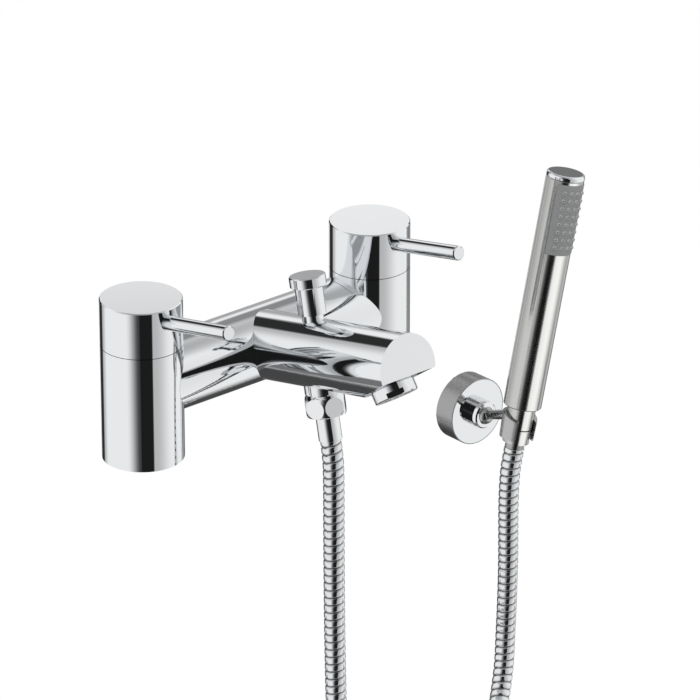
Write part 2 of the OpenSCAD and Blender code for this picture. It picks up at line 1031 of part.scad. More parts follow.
// The thread of a screw starts just behind the back plate
module wall_screws() {
    color(steel)
        plate_frame()
            at_screws() {
                rod(screw_d, backplate_t - screw_l, over);
                rod(screw_shank_d, -air, backplate_t + over);
                difference() {
                    rod(screw_head_d, backplate_t + seat, backplate_t + screw_head_h);
                    translate([0, 0, backplate_t + screw_head_h])
                        cube([screw_head_d + over, 1, 2], center = true);
                }
            }
}

module wall_plate() {
    color(chrome)
        plate_frame()
            difference() {
                chamfered_rod(plate_d, 0, plate_t, knob_edge);
                rod(plate_d - 2 * plate_wall, -over, plate_t - plate_wall);
                rod(post_d + 2 * air, 0, plate_t + over);
            }
}

// The ball sits at ball_h above the wall, in the plate's frame
ball_h = plate_t + ball_out;

module ball_seat() {
    color(plastic)
        plate_frame()
            difference() {
                rod(post_d, ball_h - ball_d / 2 - seat_t + seat, ball_h - ball_d / 4);
                translate([0, 0, ball_h])
                    sphere(d = ball_d + 2 * running);
            }
}

module ball_collar() {
    front = ball_h + collar_front;
    shoulder = front - 3;
    color(chrome)
        plate_frame()
            difference() {
                rotate_extrude()
                    polygon([
                        [0, plate_t + seat], [collar_d / 2, plate_t + seat], [collar_d / 2, shoulder],
                        [collar_d / 2 - 0.5, front - 0.8], [collar_d / 2 - 1.3, front], [0, front],
                    ]);
                rod(post_d + 2 * seat, 0, ball_h - ball_d / 4 + seat);
                translate([0, 0, ball_h])
                    sphere(d = ball_d + 2 * running);
            }
}

function cone_r(z) = cone_d / 2 + cone_taper * (z - tube_z);

// A cone around Z that keeps the given gap to the handset's neck
module neck_cone(gap, z0, z1) {
    translate([0, 0, z0])
        cylinder(h = z1 - z0, r1 = cone_r(z0) + gap, r2 = cone_r(z1) + gap);
}

module holder_arm() {
    color(chrome)
        difference() {
            union() {
                arm_frame() {
                    sphere(d = ball_d);
                    rotate([90, 0, 0])
                        cylinder(h = arm_l, d1 = arm_d, d2 = arm_root_d);
                }
                clip_frame()
                    difference() {
                        neck_cone(air + clip_wall, clip_low, clip_top);
                        // The top falls towards the open side
                        translate([0, clip_bend, clip_top])
                            rotate([clip_slope, 0, 0])
                                translate([-tube_d, -2 * tube_d, 0])
                                    cube([2 * tube_d, 2 * tube_d, tube_d]);
                    }
            }
            clip_frame() {
                neck_cone(air, clip_low - over, tube_z + arm_root_d);
                rod(tube_d + 2 * air, tube_z - air, tube_z + arm_root_d);
                rotate([90, 0, 0])
                    translate([-clip_slot / 2, clip_low - over, 0])
                        cube([clip_slot, clip_top - clip_low + 2 * over, 2 * tube_d]);
            }
        }
}

// Handset

// The part of a ring in front of the handset within half_angle of -Y
module front_sector(half_angle, z0, z1) {
    reach = tube_d;
    translate([0, 0, z0])
        linear_extrude(height = z1 - z0)
            polygon([
                [0, 0], [-reach * sin(half_angle), -reach * cos(half_angle)],
                [-reach * sin(half_angle / 2), -reach * cos(half_angle / 2)], [0, -reach],
                [reach * sin(half_angle / 2), -reach * cos(half_angle / 2)],
                [reach * sin(half_angle), -reach * cos(half_angle)],
            ]);
}

module handset_tube() {
    color(satin)
        clip_frame()
            difference() {
                chamfered_rod(tube_d, tube_z, tube_top, knob_edge);
                rod(tube_in_d, tube_z - over, tube_top + over);
                front_sector(pad_half, pad_z, pad_z + pad_h);
            }
}

// A plug with a rounded edge on its head
module handset_cap() {
    round_r = top_cap_h / 2;
    rim = tube_d / 2 - round_r;
    head = tube_top + top_cap_h - round_r;
    plug_r = tube_in_d / 2 - seat;
    color(chrome)
        clip_frame()
            rotate_extrude()
                polygon([
                    [0, tube_top - cap_plug], [plug_r, tube_top - cap_plug], [plug_r, tube_top + seat],
                    [tube_d / 2, tube_top + seat],
                    for (turn = [0 : 15 : 90])
                        [rim + round_r * cos(turn), head + round_r * sin(turn)],
                    [0, head + round_r],
                ]);
}

// Rows of nozzles over the pad, with a wider margin at its sides
module nozzles() {
    step = 2 * pad_half / (nozzle_columns + 1.5);
    row = pad_h / (nozzle_rows + 1);
    for (i = [0 : nozzle_rows - 1])
        for (k = [0 : nozzle_columns - 1])
            translate([0, 0, pad_z + row * (i + 1)])
                rotate([0, 0, step * (k - (nozzle_columns - 1) / 2)])
                    rotate([90, 0, 0])
                        rod(nozzle_d, tube_d / 2 - 0.5, tube_d / 2 + pad_proud + nozzle_out);
}

module spray_pad() {
    color(pad_grey)
        clip_frame()
            union() {
                intersection() {
                    pipe(tube_d + 2 * pad_proud, tube_in_d, pad_z + seat, pad_z + pad_h - seat);
                    front_sector(pad_half - 0.3, pad_z, pad_z + pad_h);
                }
                nozzles();
            }
}

module handset_waterway() {
    box_z = pad_z - 2;
    box_top = tube_top - cap_plug - seat;
    color(plastic)
        clip_frame()
            difference() {
                union() {
                    rod(pipe_d, tube_z + 2, box_z + over);
                    rod(box_d, box_z, box_top);
                }
                rod(pipe_in_d, tube_z, box_z + over);
                rod(box_d - 2 * box_wall, box_z + box_wall, box_top - box_wall);
                front_sector(pad_half - 8, pad_z + 2, pad_z + pad_h - 2);
            }
}

module handset_neck() {
    color(satin)
        clip_frame()
            difference() {
                union() {
                    neck_cone(0, neck_low, tube_z - seat);
                    rod(tube_in_d - 2 * seat, tube_z - seat, tube_z + plug_l);
                }
                rod(pipe_in_d, neck_low - over, tube_z + plug_l + over);
                rod(pipe_d + 2 * seat, tube_z + 2 - seat, tube_z + plug_l + over);
            }
}

module neck_seal() {
    color(rubber)
        clip_frame()
            pipe(cone_d - 1.6, pipe_in_d, cone_nut_top + seat, neck_low - seat);
}

module cone_nut() {
    color(satin)
        clip_frame()
            difference() {
                neck_cone(0, cone_nut_z, cone_nut_top);
                rod(hose_bore_d, cone_nut_z - over, cone_nut_top + over);
            }
}

module handset_ferrule() {
    color(satin)
        clip_frame()
            pipe(handset_ferrule_d, hose_bore_d, handset_ferrule_z, cone_nut_z - seat);
}

pillar(hot);  // hot_pillar
pillar(cold);  // cold_pillar
bridge();
spout();
base_seals();
valve_seat(hot);  // hot_valve_seat
valve_body(hot);  // hot_valve_body
valve_seal(hot);  // hot_valve_seal
fixed_disc(hot);  // hot_fixed_disc
moving_disc(hot);  // hot_moving_disc
spindle(hot);  // hot_spindle
spindle_ring(hot);  // hot_spindle_ring
knob(hot);  // hot_knob
lever(hot);  // hot_lever
knob_screw(hot);  // hot_knob_screw
valve_seat(cold);  // cold_valve_seat
valve_body(cold);  // cold_valve_body
valve_seal(cold);  // cold_valve_seal
fixed_disc(cold);  // cold_fixed_disc
moving_disc(cold);  // cold_moving_disc
spindle(cold);  // cold_spindle
spindle_ring(cold);  // cold_spindle_ring
knob(cold);  // cold_knob
lever(cold);  // cold_lever
knob_screw(cold);  // cold_knob_screw
diverter_guide();
diverter_knob();
diverter_spindle();
diverter_ring();
diverter_valve();
diverter_washer();
aerator_collar();
aerator_insert();
aerator_washer();
outlet_nipple();
hose_nut();
hose_washer();
mixer_ferrule();
hose_mixer_stretch();
hose_coil();
coil_tie();
hose_handset_stretch();
wall_backplate();
wall_screws();
wall_plate();
ball_seat();
ball_collar();
holder_arm();
handset_tube();
handset_cap();
spray_pad();
handset_waterway();
handset_neck();
neck_seal();
cone_nut();
handset_ferrule();
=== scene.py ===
"""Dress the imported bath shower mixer: finishes, turned pieces, spray pad, ribbed hose and studio."""
import json
import logging
import math
from collections.abc import Iterable, Sequence
from dataclasses import dataclass
from enum import Enum
from typing import Any

import bpy
from mathutils import Matrix, Vector


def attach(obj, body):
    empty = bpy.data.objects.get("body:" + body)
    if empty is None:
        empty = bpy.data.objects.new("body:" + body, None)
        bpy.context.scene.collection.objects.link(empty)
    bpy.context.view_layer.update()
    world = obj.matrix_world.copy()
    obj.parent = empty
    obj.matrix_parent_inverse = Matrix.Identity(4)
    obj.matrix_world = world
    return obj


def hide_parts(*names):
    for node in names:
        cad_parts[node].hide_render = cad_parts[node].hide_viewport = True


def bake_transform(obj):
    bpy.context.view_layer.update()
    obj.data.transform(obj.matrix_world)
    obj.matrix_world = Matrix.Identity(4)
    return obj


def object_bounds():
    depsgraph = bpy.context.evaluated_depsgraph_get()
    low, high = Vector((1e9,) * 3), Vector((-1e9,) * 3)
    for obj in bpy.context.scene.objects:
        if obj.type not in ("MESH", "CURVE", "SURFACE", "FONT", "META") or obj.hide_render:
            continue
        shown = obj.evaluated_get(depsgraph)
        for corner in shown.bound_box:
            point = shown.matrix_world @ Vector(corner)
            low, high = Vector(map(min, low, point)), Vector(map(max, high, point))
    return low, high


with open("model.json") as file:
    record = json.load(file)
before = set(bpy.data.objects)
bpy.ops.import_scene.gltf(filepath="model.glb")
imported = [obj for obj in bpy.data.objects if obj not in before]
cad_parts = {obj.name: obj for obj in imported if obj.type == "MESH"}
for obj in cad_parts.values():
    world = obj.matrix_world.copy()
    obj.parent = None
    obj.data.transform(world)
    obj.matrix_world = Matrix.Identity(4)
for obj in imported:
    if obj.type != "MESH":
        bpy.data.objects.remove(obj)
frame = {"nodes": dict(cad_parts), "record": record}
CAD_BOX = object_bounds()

LOG = logging.getLogger("bath_shower_mixer")
MM = 0.001
IMAGE_PX = 700
# Points closer than this are one point
MERGE_MM = 0.001
# Edges that turn by more than the first angle are rounded, and by more than the second stay crisp
ROUNDED_FROM = math.radians(28)
CRISP_FROM = math.radians(50)

Point = tuple[float, float, float]
Profile = Sequence[tuple[float, float]]


class Body(Enum):
    """The bodies that move as one."""

    MIXER = "mixer"
    HOT_HANDLE = "hot_handle"
    COLD_HANDLE = "cold_handle"
    DIVERTER = "diverter"
    HOLDER = "holder"
    HANDSET = "handset"


class Slot(Enum):
    """The record's material slots."""

    CHROME = "chrome"
    SATIN = "satin_chrome"
    BRASS = "brass"
    CERAMIC = "ceramic"
    RUBBER = "rubber"
    STEEL = "steel"
    HOSE = "hose"
    PLASTIC = "plastic"
    SILICONE = "silicone"


def linear(colour: str) -> tuple[float, float, float, float]:
    """Turn an sRGB hex colour into linear light.

    Args:
        colour: The colour as #rrggbb.

    Returns:
        Linear red, green and blue with full alpha.
    """
    parts = [int(colour[i : i + 2], 16) / 255 for i in (1, 3, 5)]
    red, green, blue = (p / 12.92 if p <= 0.04045 else ((p + 0.055) / 1.055) ** 2.4 for p in parts)
    return red, green, blue, 1.0


def add_node(
    tree: bpy.types.NodeTree,
    kind: str,
    settings: dict[str | int, Any] | None = None,
    links: dict[str | int, bpy.types.NodeSocket] | None = None,
) -> bpy.types.Node:
    """Add one node with its settings and links.

    Args:
        tree: The node tree of a material or of the world.
        kind: The node's type name.
        settings: Values by socket name or number, or by property name.
        links: The output that feeds each named or numbered input.

    Returns:
        The new node.
    """
    node = tree.nodes.new(kind)
    for key, value in (settings or {}).items():
        if isinstance(key, int) or key in node.inputs:
            node.inputs[key].default_value = value
        else:
            setattr(node, key, value)
    for key, source in (links or {}).items():
        tree.links.new(source, node.inputs[key])
    return node


@dataclass(frozen=True)
class Finish:
    """A real material: its colour and how its surface meets the light."""

    name: str
    colour: str
    roughness: float
    metallic: float = 0.0

    def material(self) -> bpy.types.Material:
        """Make the material once, and share it from then on.

        Returns:
            The Blender material of this finish.
        """
        known = bpy.data.materials.get(self.name)
        if known:
            return known
        made = bpy.data.materials.new(self.name)
        made.use_nodes = True
        tree = made.node_tree
        shader = tree.nodes["Principled BSDF"]
        shader.inputs["Base Color"].default_value = linear(self.colour)
        shader.inputs["Metallic"].default_value = self.metallic
        shader.inputs["Roughness"].default_value = self.roughness
        coords = add_node(tree, "ShaderNodeTexCoord").outputs["Object"]
        self.detail(tree, shader, coords)
        return made

    def detail(
        self, tree: bpy.types.NodeTree, shader: bpy.types.Node, coords: bpy.types.NodeSocket
    ) -> None:
        """Add what the surface shows up close.

        Args:
            tree: The material's nodes.
            shader: Its Principled BSDF.
            coords: Object coordinates.
        """
        raise NotImplementedError


@dataclass(frozen=True)
class PolishedPlate(Finish):
    """Chrome plate on buffed brass: a clean mirror under a faint film of wiping."""

    film_mm: float = 9.0
    film_roughness: float = 0.035

    def detail(
        self, tree: bpy.types.NodeTree, shader: bpy.types.Node, coords: bpy.types.NodeSocket
    ) -> None:
        """Let the wiped film change the gloss a little from place to place.

        Args:
            tree: The material's nodes.
            shader: Its Principled BSDF.
            coords: Object coordinates.
        """
        film = add_node(
            tree, "ShaderNodeTexNoise",
            {"Scale": 1 / (self.film_mm * MM), "Detail": 3.0, "Roughness": 0.55},
            {"Vector": coords},
        )
        gloss = add_node(
            tree, "ShaderNodeMapRange",
            {"From Min": 0.35, "From Max": 0.75, "To Min": self.roughness,
             "To Max": self.roughness + self.film_roughness},
            {"Value": film.outputs["Fac"]},
        )
        tree.links.new(gloss.outputs["Result"], shader.inputs["Roughness"])


@dataclass(frozen=True)
class BrushedPlate(Finish):
    """Satin chrome: fine lengthwise brushing that spreads each reflection."""

    axis: Point = (0.0, 0.0, 1.0)
    # Real brushing is about 0.1 mm wide; it is drawn coarser so that it shows
    line_mm: float = 0.5
    line_length_mm: float = 45.0
    depth_mm: float = 0.006
    # How much smoother and rougher than the whole a line can be
    gloss_spread: tuple[float, float] = (0.05, 0.07)

    def detail(
        self, tree: bpy.types.NodeTree, shader: bpy.types.Node, coords: bpy.types.NodeSocket
    ) -> None:
        """Draw the brushing along the axis, in gloss and in height.

        Args:
            tree: The material's nodes.
            shader: Its Principled BSDF.
            coords: Object coordinates.
        """
        upright = Vector(self.axis).rotation_difference(Vector((0, 0, 1))).to_matrix()
        turned_coords = add_node(
            tree, "ShaderNodeMapping", {"Rotation": upright.to_euler()}, {"Vector": coords}
        )
        across = 1 / (self.line_mm * MM)
        stretched = add_node(
            tree, "ShaderNodeMapping",
            {"Scale": (across, across, 1 / (self.line_length_mm * MM))},
            {"Vector": turned_coords.outputs["Vector"]},
        )
        lines = add_node(
            tree, "ShaderNodeTexNoise", {"Scale": 1.0, "Detail": 2.0},
            {"Vector": stretched.outputs["Vector"]},
        )
        gloss = add_node(
            tree, "ShaderNodeMapRange",
            {"From Min": 0.3, "From Max": 0.7, "To Min": self.roughness - self.gloss_spread[0],
             "To Max": self.roughness + self.gloss_spread[1]},
            {"Value": lines.outputs["Fac"]},
        )
        relief = add_node(
            tree, "ShaderNodeBump", {"Strength": 0.25, "Distance": self.depth_mm * MM},
            {"Height": lines.outputs["Fac"]},
        )
        tree.links.new(gloss.outputs["Result"], shader.inputs["Roughness"])
        tree.links.new(relief.outputs["Normal"], shader.inputs["Normal"])


@dataclass(frozen=True)
class MachinedMetal(Finish):
    """Metal straight from the lathe or the press: fine tool marks and a slightly uneven tone."""

    mark_mm: float = 0.6
    mark_depth_mm: float = 0.01
    cloud_mm: float = 6.0
    dark: str = "#808080"

    # A wave texture has about this many bands in one unit of its scale
    BANDS = 0.3

    def detail(
        self, tree: bpy.types.NodeTree, shader: bpy.types.Node, coords: bpy.types.NodeSocket
    ) -> None:
        """Draw tool marks along Z and a cloudy tone.

        Args:
            tree: The material's nodes.
            shader: Its Principled BSDF.
            coords: Object coordinates.
        """
        marks = add_node(
            tree, "ShaderNodeTexWave",
            {"bands_direction": "Z", "Scale": self.BANDS / (self.mark_mm * MM), "Distortion": 1.5,
             "Detail": 1.0},
            {"Vector": coords},
        )
        cloud = add_node(
            tree, "ShaderNodeTexNoise", {"Scale": 1 / (self.cloud_mm * MM), "Detail": 3.0},
            {"Vector": coords},
        )
        tone = add_node(
            tree, "ShaderNodeMix",
            {"data_type": "RGBA", 6: linear(self.colour), 7: linear(self.dark)},
            {0: cloud.outputs["Fac"]},
        )
        relief = add_node(
            tree, "ShaderNodeBump", {"Strength": 0.3, "Distance": self.mark_depth_mm * MM},
            {"Height": marks.outputs["Fac"]},
        )
        tree.links.new(tone.outputs[2], shader.inputs["Base Color"])
        tree.links.new(relief.outputs["Normal"], shader.inputs["Normal"])


@dataclass(frozen=True)
class MouldedGrain(Finish):
    """A moulded or fired surface: a fine grain in tone and height."""

    grain_mm: float = 0.5
    depth_mm: float = 0.03
    cloud_mm: float = 7.0
    dark: str = "#808080"

    def detail(
        self, tree: bpy.types.NodeTree, shader: bpy.types.Node, coords: bpy.types.NodeSocket
    ) -> None:
        """Draw the grain.

        Args:
            tree: The material's nodes.
            shader: Its Principled BSDF.
            coords: Object coordinates.
        """
        grain = add_node(
            tree, "ShaderNodeTexNoise", {"Scale": 1 / (self.grain_mm * MM), "Detail": 3.0},
            {"Vector": coords},
        )
        cloud = add_node(
            tree, "ShaderNodeTexNoise", {"Scale": 1 / (self.cloud_mm * MM), "Detail": 2.0},
            {"Vector": coords},
        )
        tone = add_node(
            tree, "ShaderNodeMix",
            {"data_type": "RGBA", 6: linear(self.colour), 7: linear(self.dark)},
            {0: cloud.outputs["Fac"]},
        )
        relief = add_node(
            tree, "ShaderNodeBump", {"Strength": 0.5, "Distance": self.depth_mm * MM},
            {"Height": grain.outputs["Fac"]},
        )
        tree.links.new(tone.outputs[2], shader.inputs["Base Color"])
        tree.links.new(relief.outputs["Normal"], shader.inputs["Normal"])


@dataclass(frozen=True)
class WoundStrip(Finish):
    """Bright steel strip wound into a hose: polished ribs with dull grooves, darkened with painted shade.
    """

    # Painted shade: the colour that darkens the grooves
    groove_shade_colour: str = "#3a3b3d"
    groove_roughness: float = 0.45
    film_mm: float = 4.0
    film_roughness: float = 0.06

    def detail(
        self, tree: bpy.types.NodeTree, shader: bpy.types.Node, coords: bpy.types.NodeSocket
    ) -> None:
        """Darken the grooves with painted shade and dull them; the mesh marks them with an attribute.

        Args:
            tree: The material's nodes.
            shader: Its Principled BSDF.
            coords: Object coordinates.
        """
        groove = add_node(tree, "ShaderNodeAttribute", {"attribute_name": GROOVE}).outputs["Fac"]
        film = add_node(
            tree, "ShaderNodeTexNoise", {"Scale": 1 / (self.film_mm * MM)}, {"Vector": coords}
        )
        # Painted shade: the groove colour is mixed in where the groove mask is deep
        tone = add_node(
            tree, "ShaderNodeMix",
            {"data_type": "RGBA", 6: linear(self.colour), 7: linear(self.groove_shade_colour)},
            {0: groove},
        )
        dull = add_node(
            tree, "ShaderNodeMapRange",
            {"To Min": self.roughness, "To Max": self.groove_roughness}, {"Value": groove},
        )
        gloss = add_node(
            tree, "ShaderNodeMath", {"operation": "MULTIPLY_ADD", 1: self.film_roughness},
            {0: film.outputs["Fac"], 2: dull.outputs["Result"]},
        )
        tree.links.new(tone.outputs[2], shader.inputs["Base Color"])
        tree.links.new(gloss.outputs["Value"], shader.inputs["Roughness"])


GROOVE = "groove"
HANDSET_AXIS = (0.195376, -0.030237, 0.980262)
FINISHES: dict[Slot, Finish] = {
    # Electroplated chrome on buffed brass: a cold, nearly white mirror
    Slot.CHROME: PolishedPlate("chrome_plate_on_brass", "#e6e8ea", 0.02, 1.0),
    # Chrome on a brushed surface: mid grey, with its reflections drawn out across the brushing
    Slot.SATIN: BrushedPlate("satin_chrome_plate", "#a8a8a6", 0.16, 1.0, axis=HANDSET_AXIS),
    # Turned brass: a dull yellow with fine rings
    Slot.BRASS: MachinedMetal("machined_brass", "#cfae6a", 0.25, 1.0, dark="#b08f4e"),
    # Ground alumina: an even, slightly warm white
    Slot.CERAMIC: MouldedGrain(
        "ground_alumina", "#efece4", 0.25, grain_mm=0.3, depth_mm=0.01, dark="#e2ddd2"
    ),
    # Moulded nitrile: black with hardly any shine
    Slot.RUBBER: MouldedGrain("black_nitrile_rubber", "#1d1e1f", 0.55, dark="#2b2c2d"),
    # Drawn and turned stainless steel: a neutral grey, softly bright
    Slot.STEEL: MachinedMetal("stainless_steel", "#c4c6c8", 0.22, 1.0, dark="#a2a4a6"),
    # Polished strip wound into a hose: bright crowns between grooves darkened with painted shade
    Slot.HOSE: WoundStrip("wound_steel_strip", "#e2e4e6", 0.08, 1.0),
    # Moulded acetal: a waxy white
    Slot.PLASTIC: MouldedGrain("white_acetal", "#e6e6e2", 0.35, dark="#d8d8d3"),
    # Moulded silicone: a flat mid grey with a soft skin
    Slot.SILICONE: MouldedGrain(
        "grey_silicone", "#868787", 0.5, grain_mm=0.7, depth_mm=0.04, dark="#7c7d7d"
    ),
}


# The clip gets a greyer, softer brushed plate than the mirrors around it
NODE_FINISHES: dict[str, Finish] = {
    "holder_arm": BrushedPlate("satin_chrome_clip", "#b4b4b4", 0.2, 1.0, axis=HANDSET_AXIS),
}


def deselect() -> None:
    """Leave nothing selected, so that an operator acts on the new piece alone."""
    bpy.ops.object.select_all(action="DESELECT")


def apply_modifier(piece: bpy.types.Object, kind: str, **settings: Any) -> None:
    """Add a modifier to a piece and apply it.

    Args:
        piece: The piece.
        kind: The modifier's type name.
        **settings: The modifier's own settings.
    """
    deselect()
    bpy.context.view_layer.objects.active = piece
    piece.select_set(True)
    modifier = piece.modifiers.new(kind.lower(), kind)
    for key, value in settings.items():
        setattr(modifier, key, value)
    bpy.ops.object.modifier_apply(modifier=modifier.name)


def soften(piece: bpy.types.Object, edge_mm: float) -> None:
    """Round a piece's sharp edges and shade it so that its flats stay flat.

    Args:
        piece: The piece.
        edge_mm: Width of the rounded edges.
    """
    if edge_mm:
        apply_modifier(
            piece, "BEVEL", width=edge_mm * MM, segments=3, limit_method="ANGLE",
            angle_limit=ROUNDED_FROM, use_clamp_overlap=True,
        )
    deselect()
    bpy.context.view_layer.objects.active = piece
    piece.select_set(True)
    bpy.ops.object.shade_smooth_by_angle(angle=CRISP_FROM)
    apply_modifier(piece, "WEIGHTED_NORMAL", keep_sharp=True)


def turned(
    name: str, profile: Profile, edge_mm: float, steps: int = 96, sweep: float = 360.0
) -> bpy.types.Object:
    """Turn a piece about Z, as on a lathe.

    Args:
        name: The piece's name.
        profile: Radius and height of each corner in millimetres.
        edge_mm: Width of the rounded edges.
        steps: Steps around the sweep.
        sweep: Angle in degrees; less than 360 gives a closed sector.

    Returns:
        The piece, about the world's Z axis.
    """
    deselect()
    bpy.ops.mesh.primitive_plane_add(size=MM)
    piece = bpy.context.object
    piece.name = name
    bpy.ops.object.mode_set(mode="EDIT")
    bpy.ops.mesh.select_mode(type="VERT")
    bpy.ops.mesh.select_all(action="SELECT")
    bpy.ops.mesh.merge(type="CENTER")
    bpy.ops.transform.translate(value=(profile[0][0] * MM, 0, profile[0][1] * MM))
    for (r0, z0), (r1, z1) in zip(profile, profile[1:]):
        bpy.ops.mesh.extrude_region_move(
            TRANSFORM_OT_translate={"value": ((r1 - r0) * MM, 0, (z1 - z0) * MM)}
        )
    bpy.ops.mesh.select_all(action="SELECT")
    if sweep < 360 and profile[0] == profile[-1]:
        bpy.ops.mesh.remove_doubles(threshold=MERGE_MM * MM)
        bpy.ops.mesh.edge_face_add()
    bpy.ops.mesh.spin(steps=steps, angle=math.radians(sweep), center=(0, 0, 0), axis=(0, 0, 1))
    bpy.ops.mesh.select_all(action="SELECT")
    bpy.ops.mesh.remove_doubles(threshold=MERGE_MM * MM)
    bpy.ops.mesh.normals_make_consistent(inside=False)
    bpy.ops.object.mode_set(mode="OBJECT")
    soften(piece, edge_mm)
    return piece


def place(piece: bpy.types.Object, where: Matrix) -> None:
    """Move a piece to its place and keep that place in its mesh.

    Args:
        piece: A piece about the origin, in metres.
        where: The frame it goes to, in metres.
    """
    deselect()
    bpy.context.view_layer.objects.active = piece
    piece.select_set(True)
    piece.matrix_world = where @ piece.matrix_world
    bpy.ops.object.transform_apply(location=True, rotation=True, scale=True)


def joined(name: str, pieces: Sequence[bpy.types.Object]) -> bpy.types.Object:
    """Join several pieces into one.

    Args:
        name: The name of the whole.
        pieces: The pieces; the first one takes in the others.

    Returns:
        The whole.
    """
    deselect()
    for piece in pieces:
        piece.select_set(True)
    bpy.context.view_layer.objects.active = pieces[0]
    bpy.ops.object.join()
    pieces[0].name = name
    return pieces[0]


def wear(piece: bpy.types.Object, slot: Slot, finish: Finish | None = None) -> None:
    """Give a new piece the finish of a slot.

    Args:
        piece: The piece.
        slot: Its material slot.
        finish: The finish, where it isn't the slot's usual one.
    """
    piece.data.materials.clear()
    piece.data.materials.append((finish or FINISHES[slot]).material())


def settle(
    piece: bpy.types.Object, slot: Slot, body: Body, nodes: Iterable[str], finish: Finish | None = None
) -> None:
    """Finish a new piece and tie it to its body.

    Args:
        piece: The piece, in place.
        slot: Its material slot.
        body: The body that it moves with.
        nodes: The CAD nodes that it stands for.
        finish: The finish, where it isn't the slot's usual one.
    """
    wear(piece, slot, finish)
    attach(piece, body.value)
    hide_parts(*nodes)
    LOG.info("%s: %s on %s, %d faces", piece.name, slot.value, body.value, len(piece.data.polygons))


def frame_at(place_mm: Point, *turns: tuple[str, float]) -> Matrix:
    """Build a frame from a place and turns.

    Args:
        place_mm: The frame's origin in millimetres.
        *turns: Axis and angle in degrees, from the outermost turn inwards.

    Returns:
        The frame as a matrix in metres.
    """
    made = Matrix.Translation(Vector(place_mm) * MM)
    for axis, angle in turns:
        made = made @ Matrix.Rotation(math.radians(angle), 4, axis)
    return made


@dataclass
class Camera:
    """The camera of the photograph, as fitted to both pillars."""

    azimuth: float = -41.15
    elevation: float = 24.18
    distance_mm: float = 3327.5
    focal_px: float = 5470.7
    target_mm: Point = (52.35, -24.91, 34.93)
    sensor_mm: float = 36.0
    far_m: float = 50.0

    def build(self) -> None:
        """Add the camera and make it the scene's own."""
        az = math.radians(self.azimuth)
        el = math.radians(self.elevation)
        back = Vector((math.sin(az) * math.cos(el), -math.cos(az) * math.cos(el), math.sin(el)))
        right = Vector((math.cos(az), math.sin(az), 0))
        up = back.cross(right)
        lens = bpy.data.cameras.new("photo_camera")
        lens.sensor_fit = "HORIZONTAL"
        lens.sensor_width = self.sensor_mm
        lens.lens = self.focal_px * self.sensor_mm / IMAGE_PX
        lens.clip_end = self.far_m
        eye = bpy.data.objects.new("photo_camera", lens)
        bpy.context.scene.collection.objects.link(eye)
        turn = Matrix((right, up, back)).transposed().to_4x4()
        place_mm = Vector(self.target_mm) + back * self.distance_mm
        eye.matrix_world = Matrix.Translation(place_mm * MM) @ turn
        bpy.context.scene.camera = eye
        LOG.info("camera: lens %.1f mm", lens.lens)


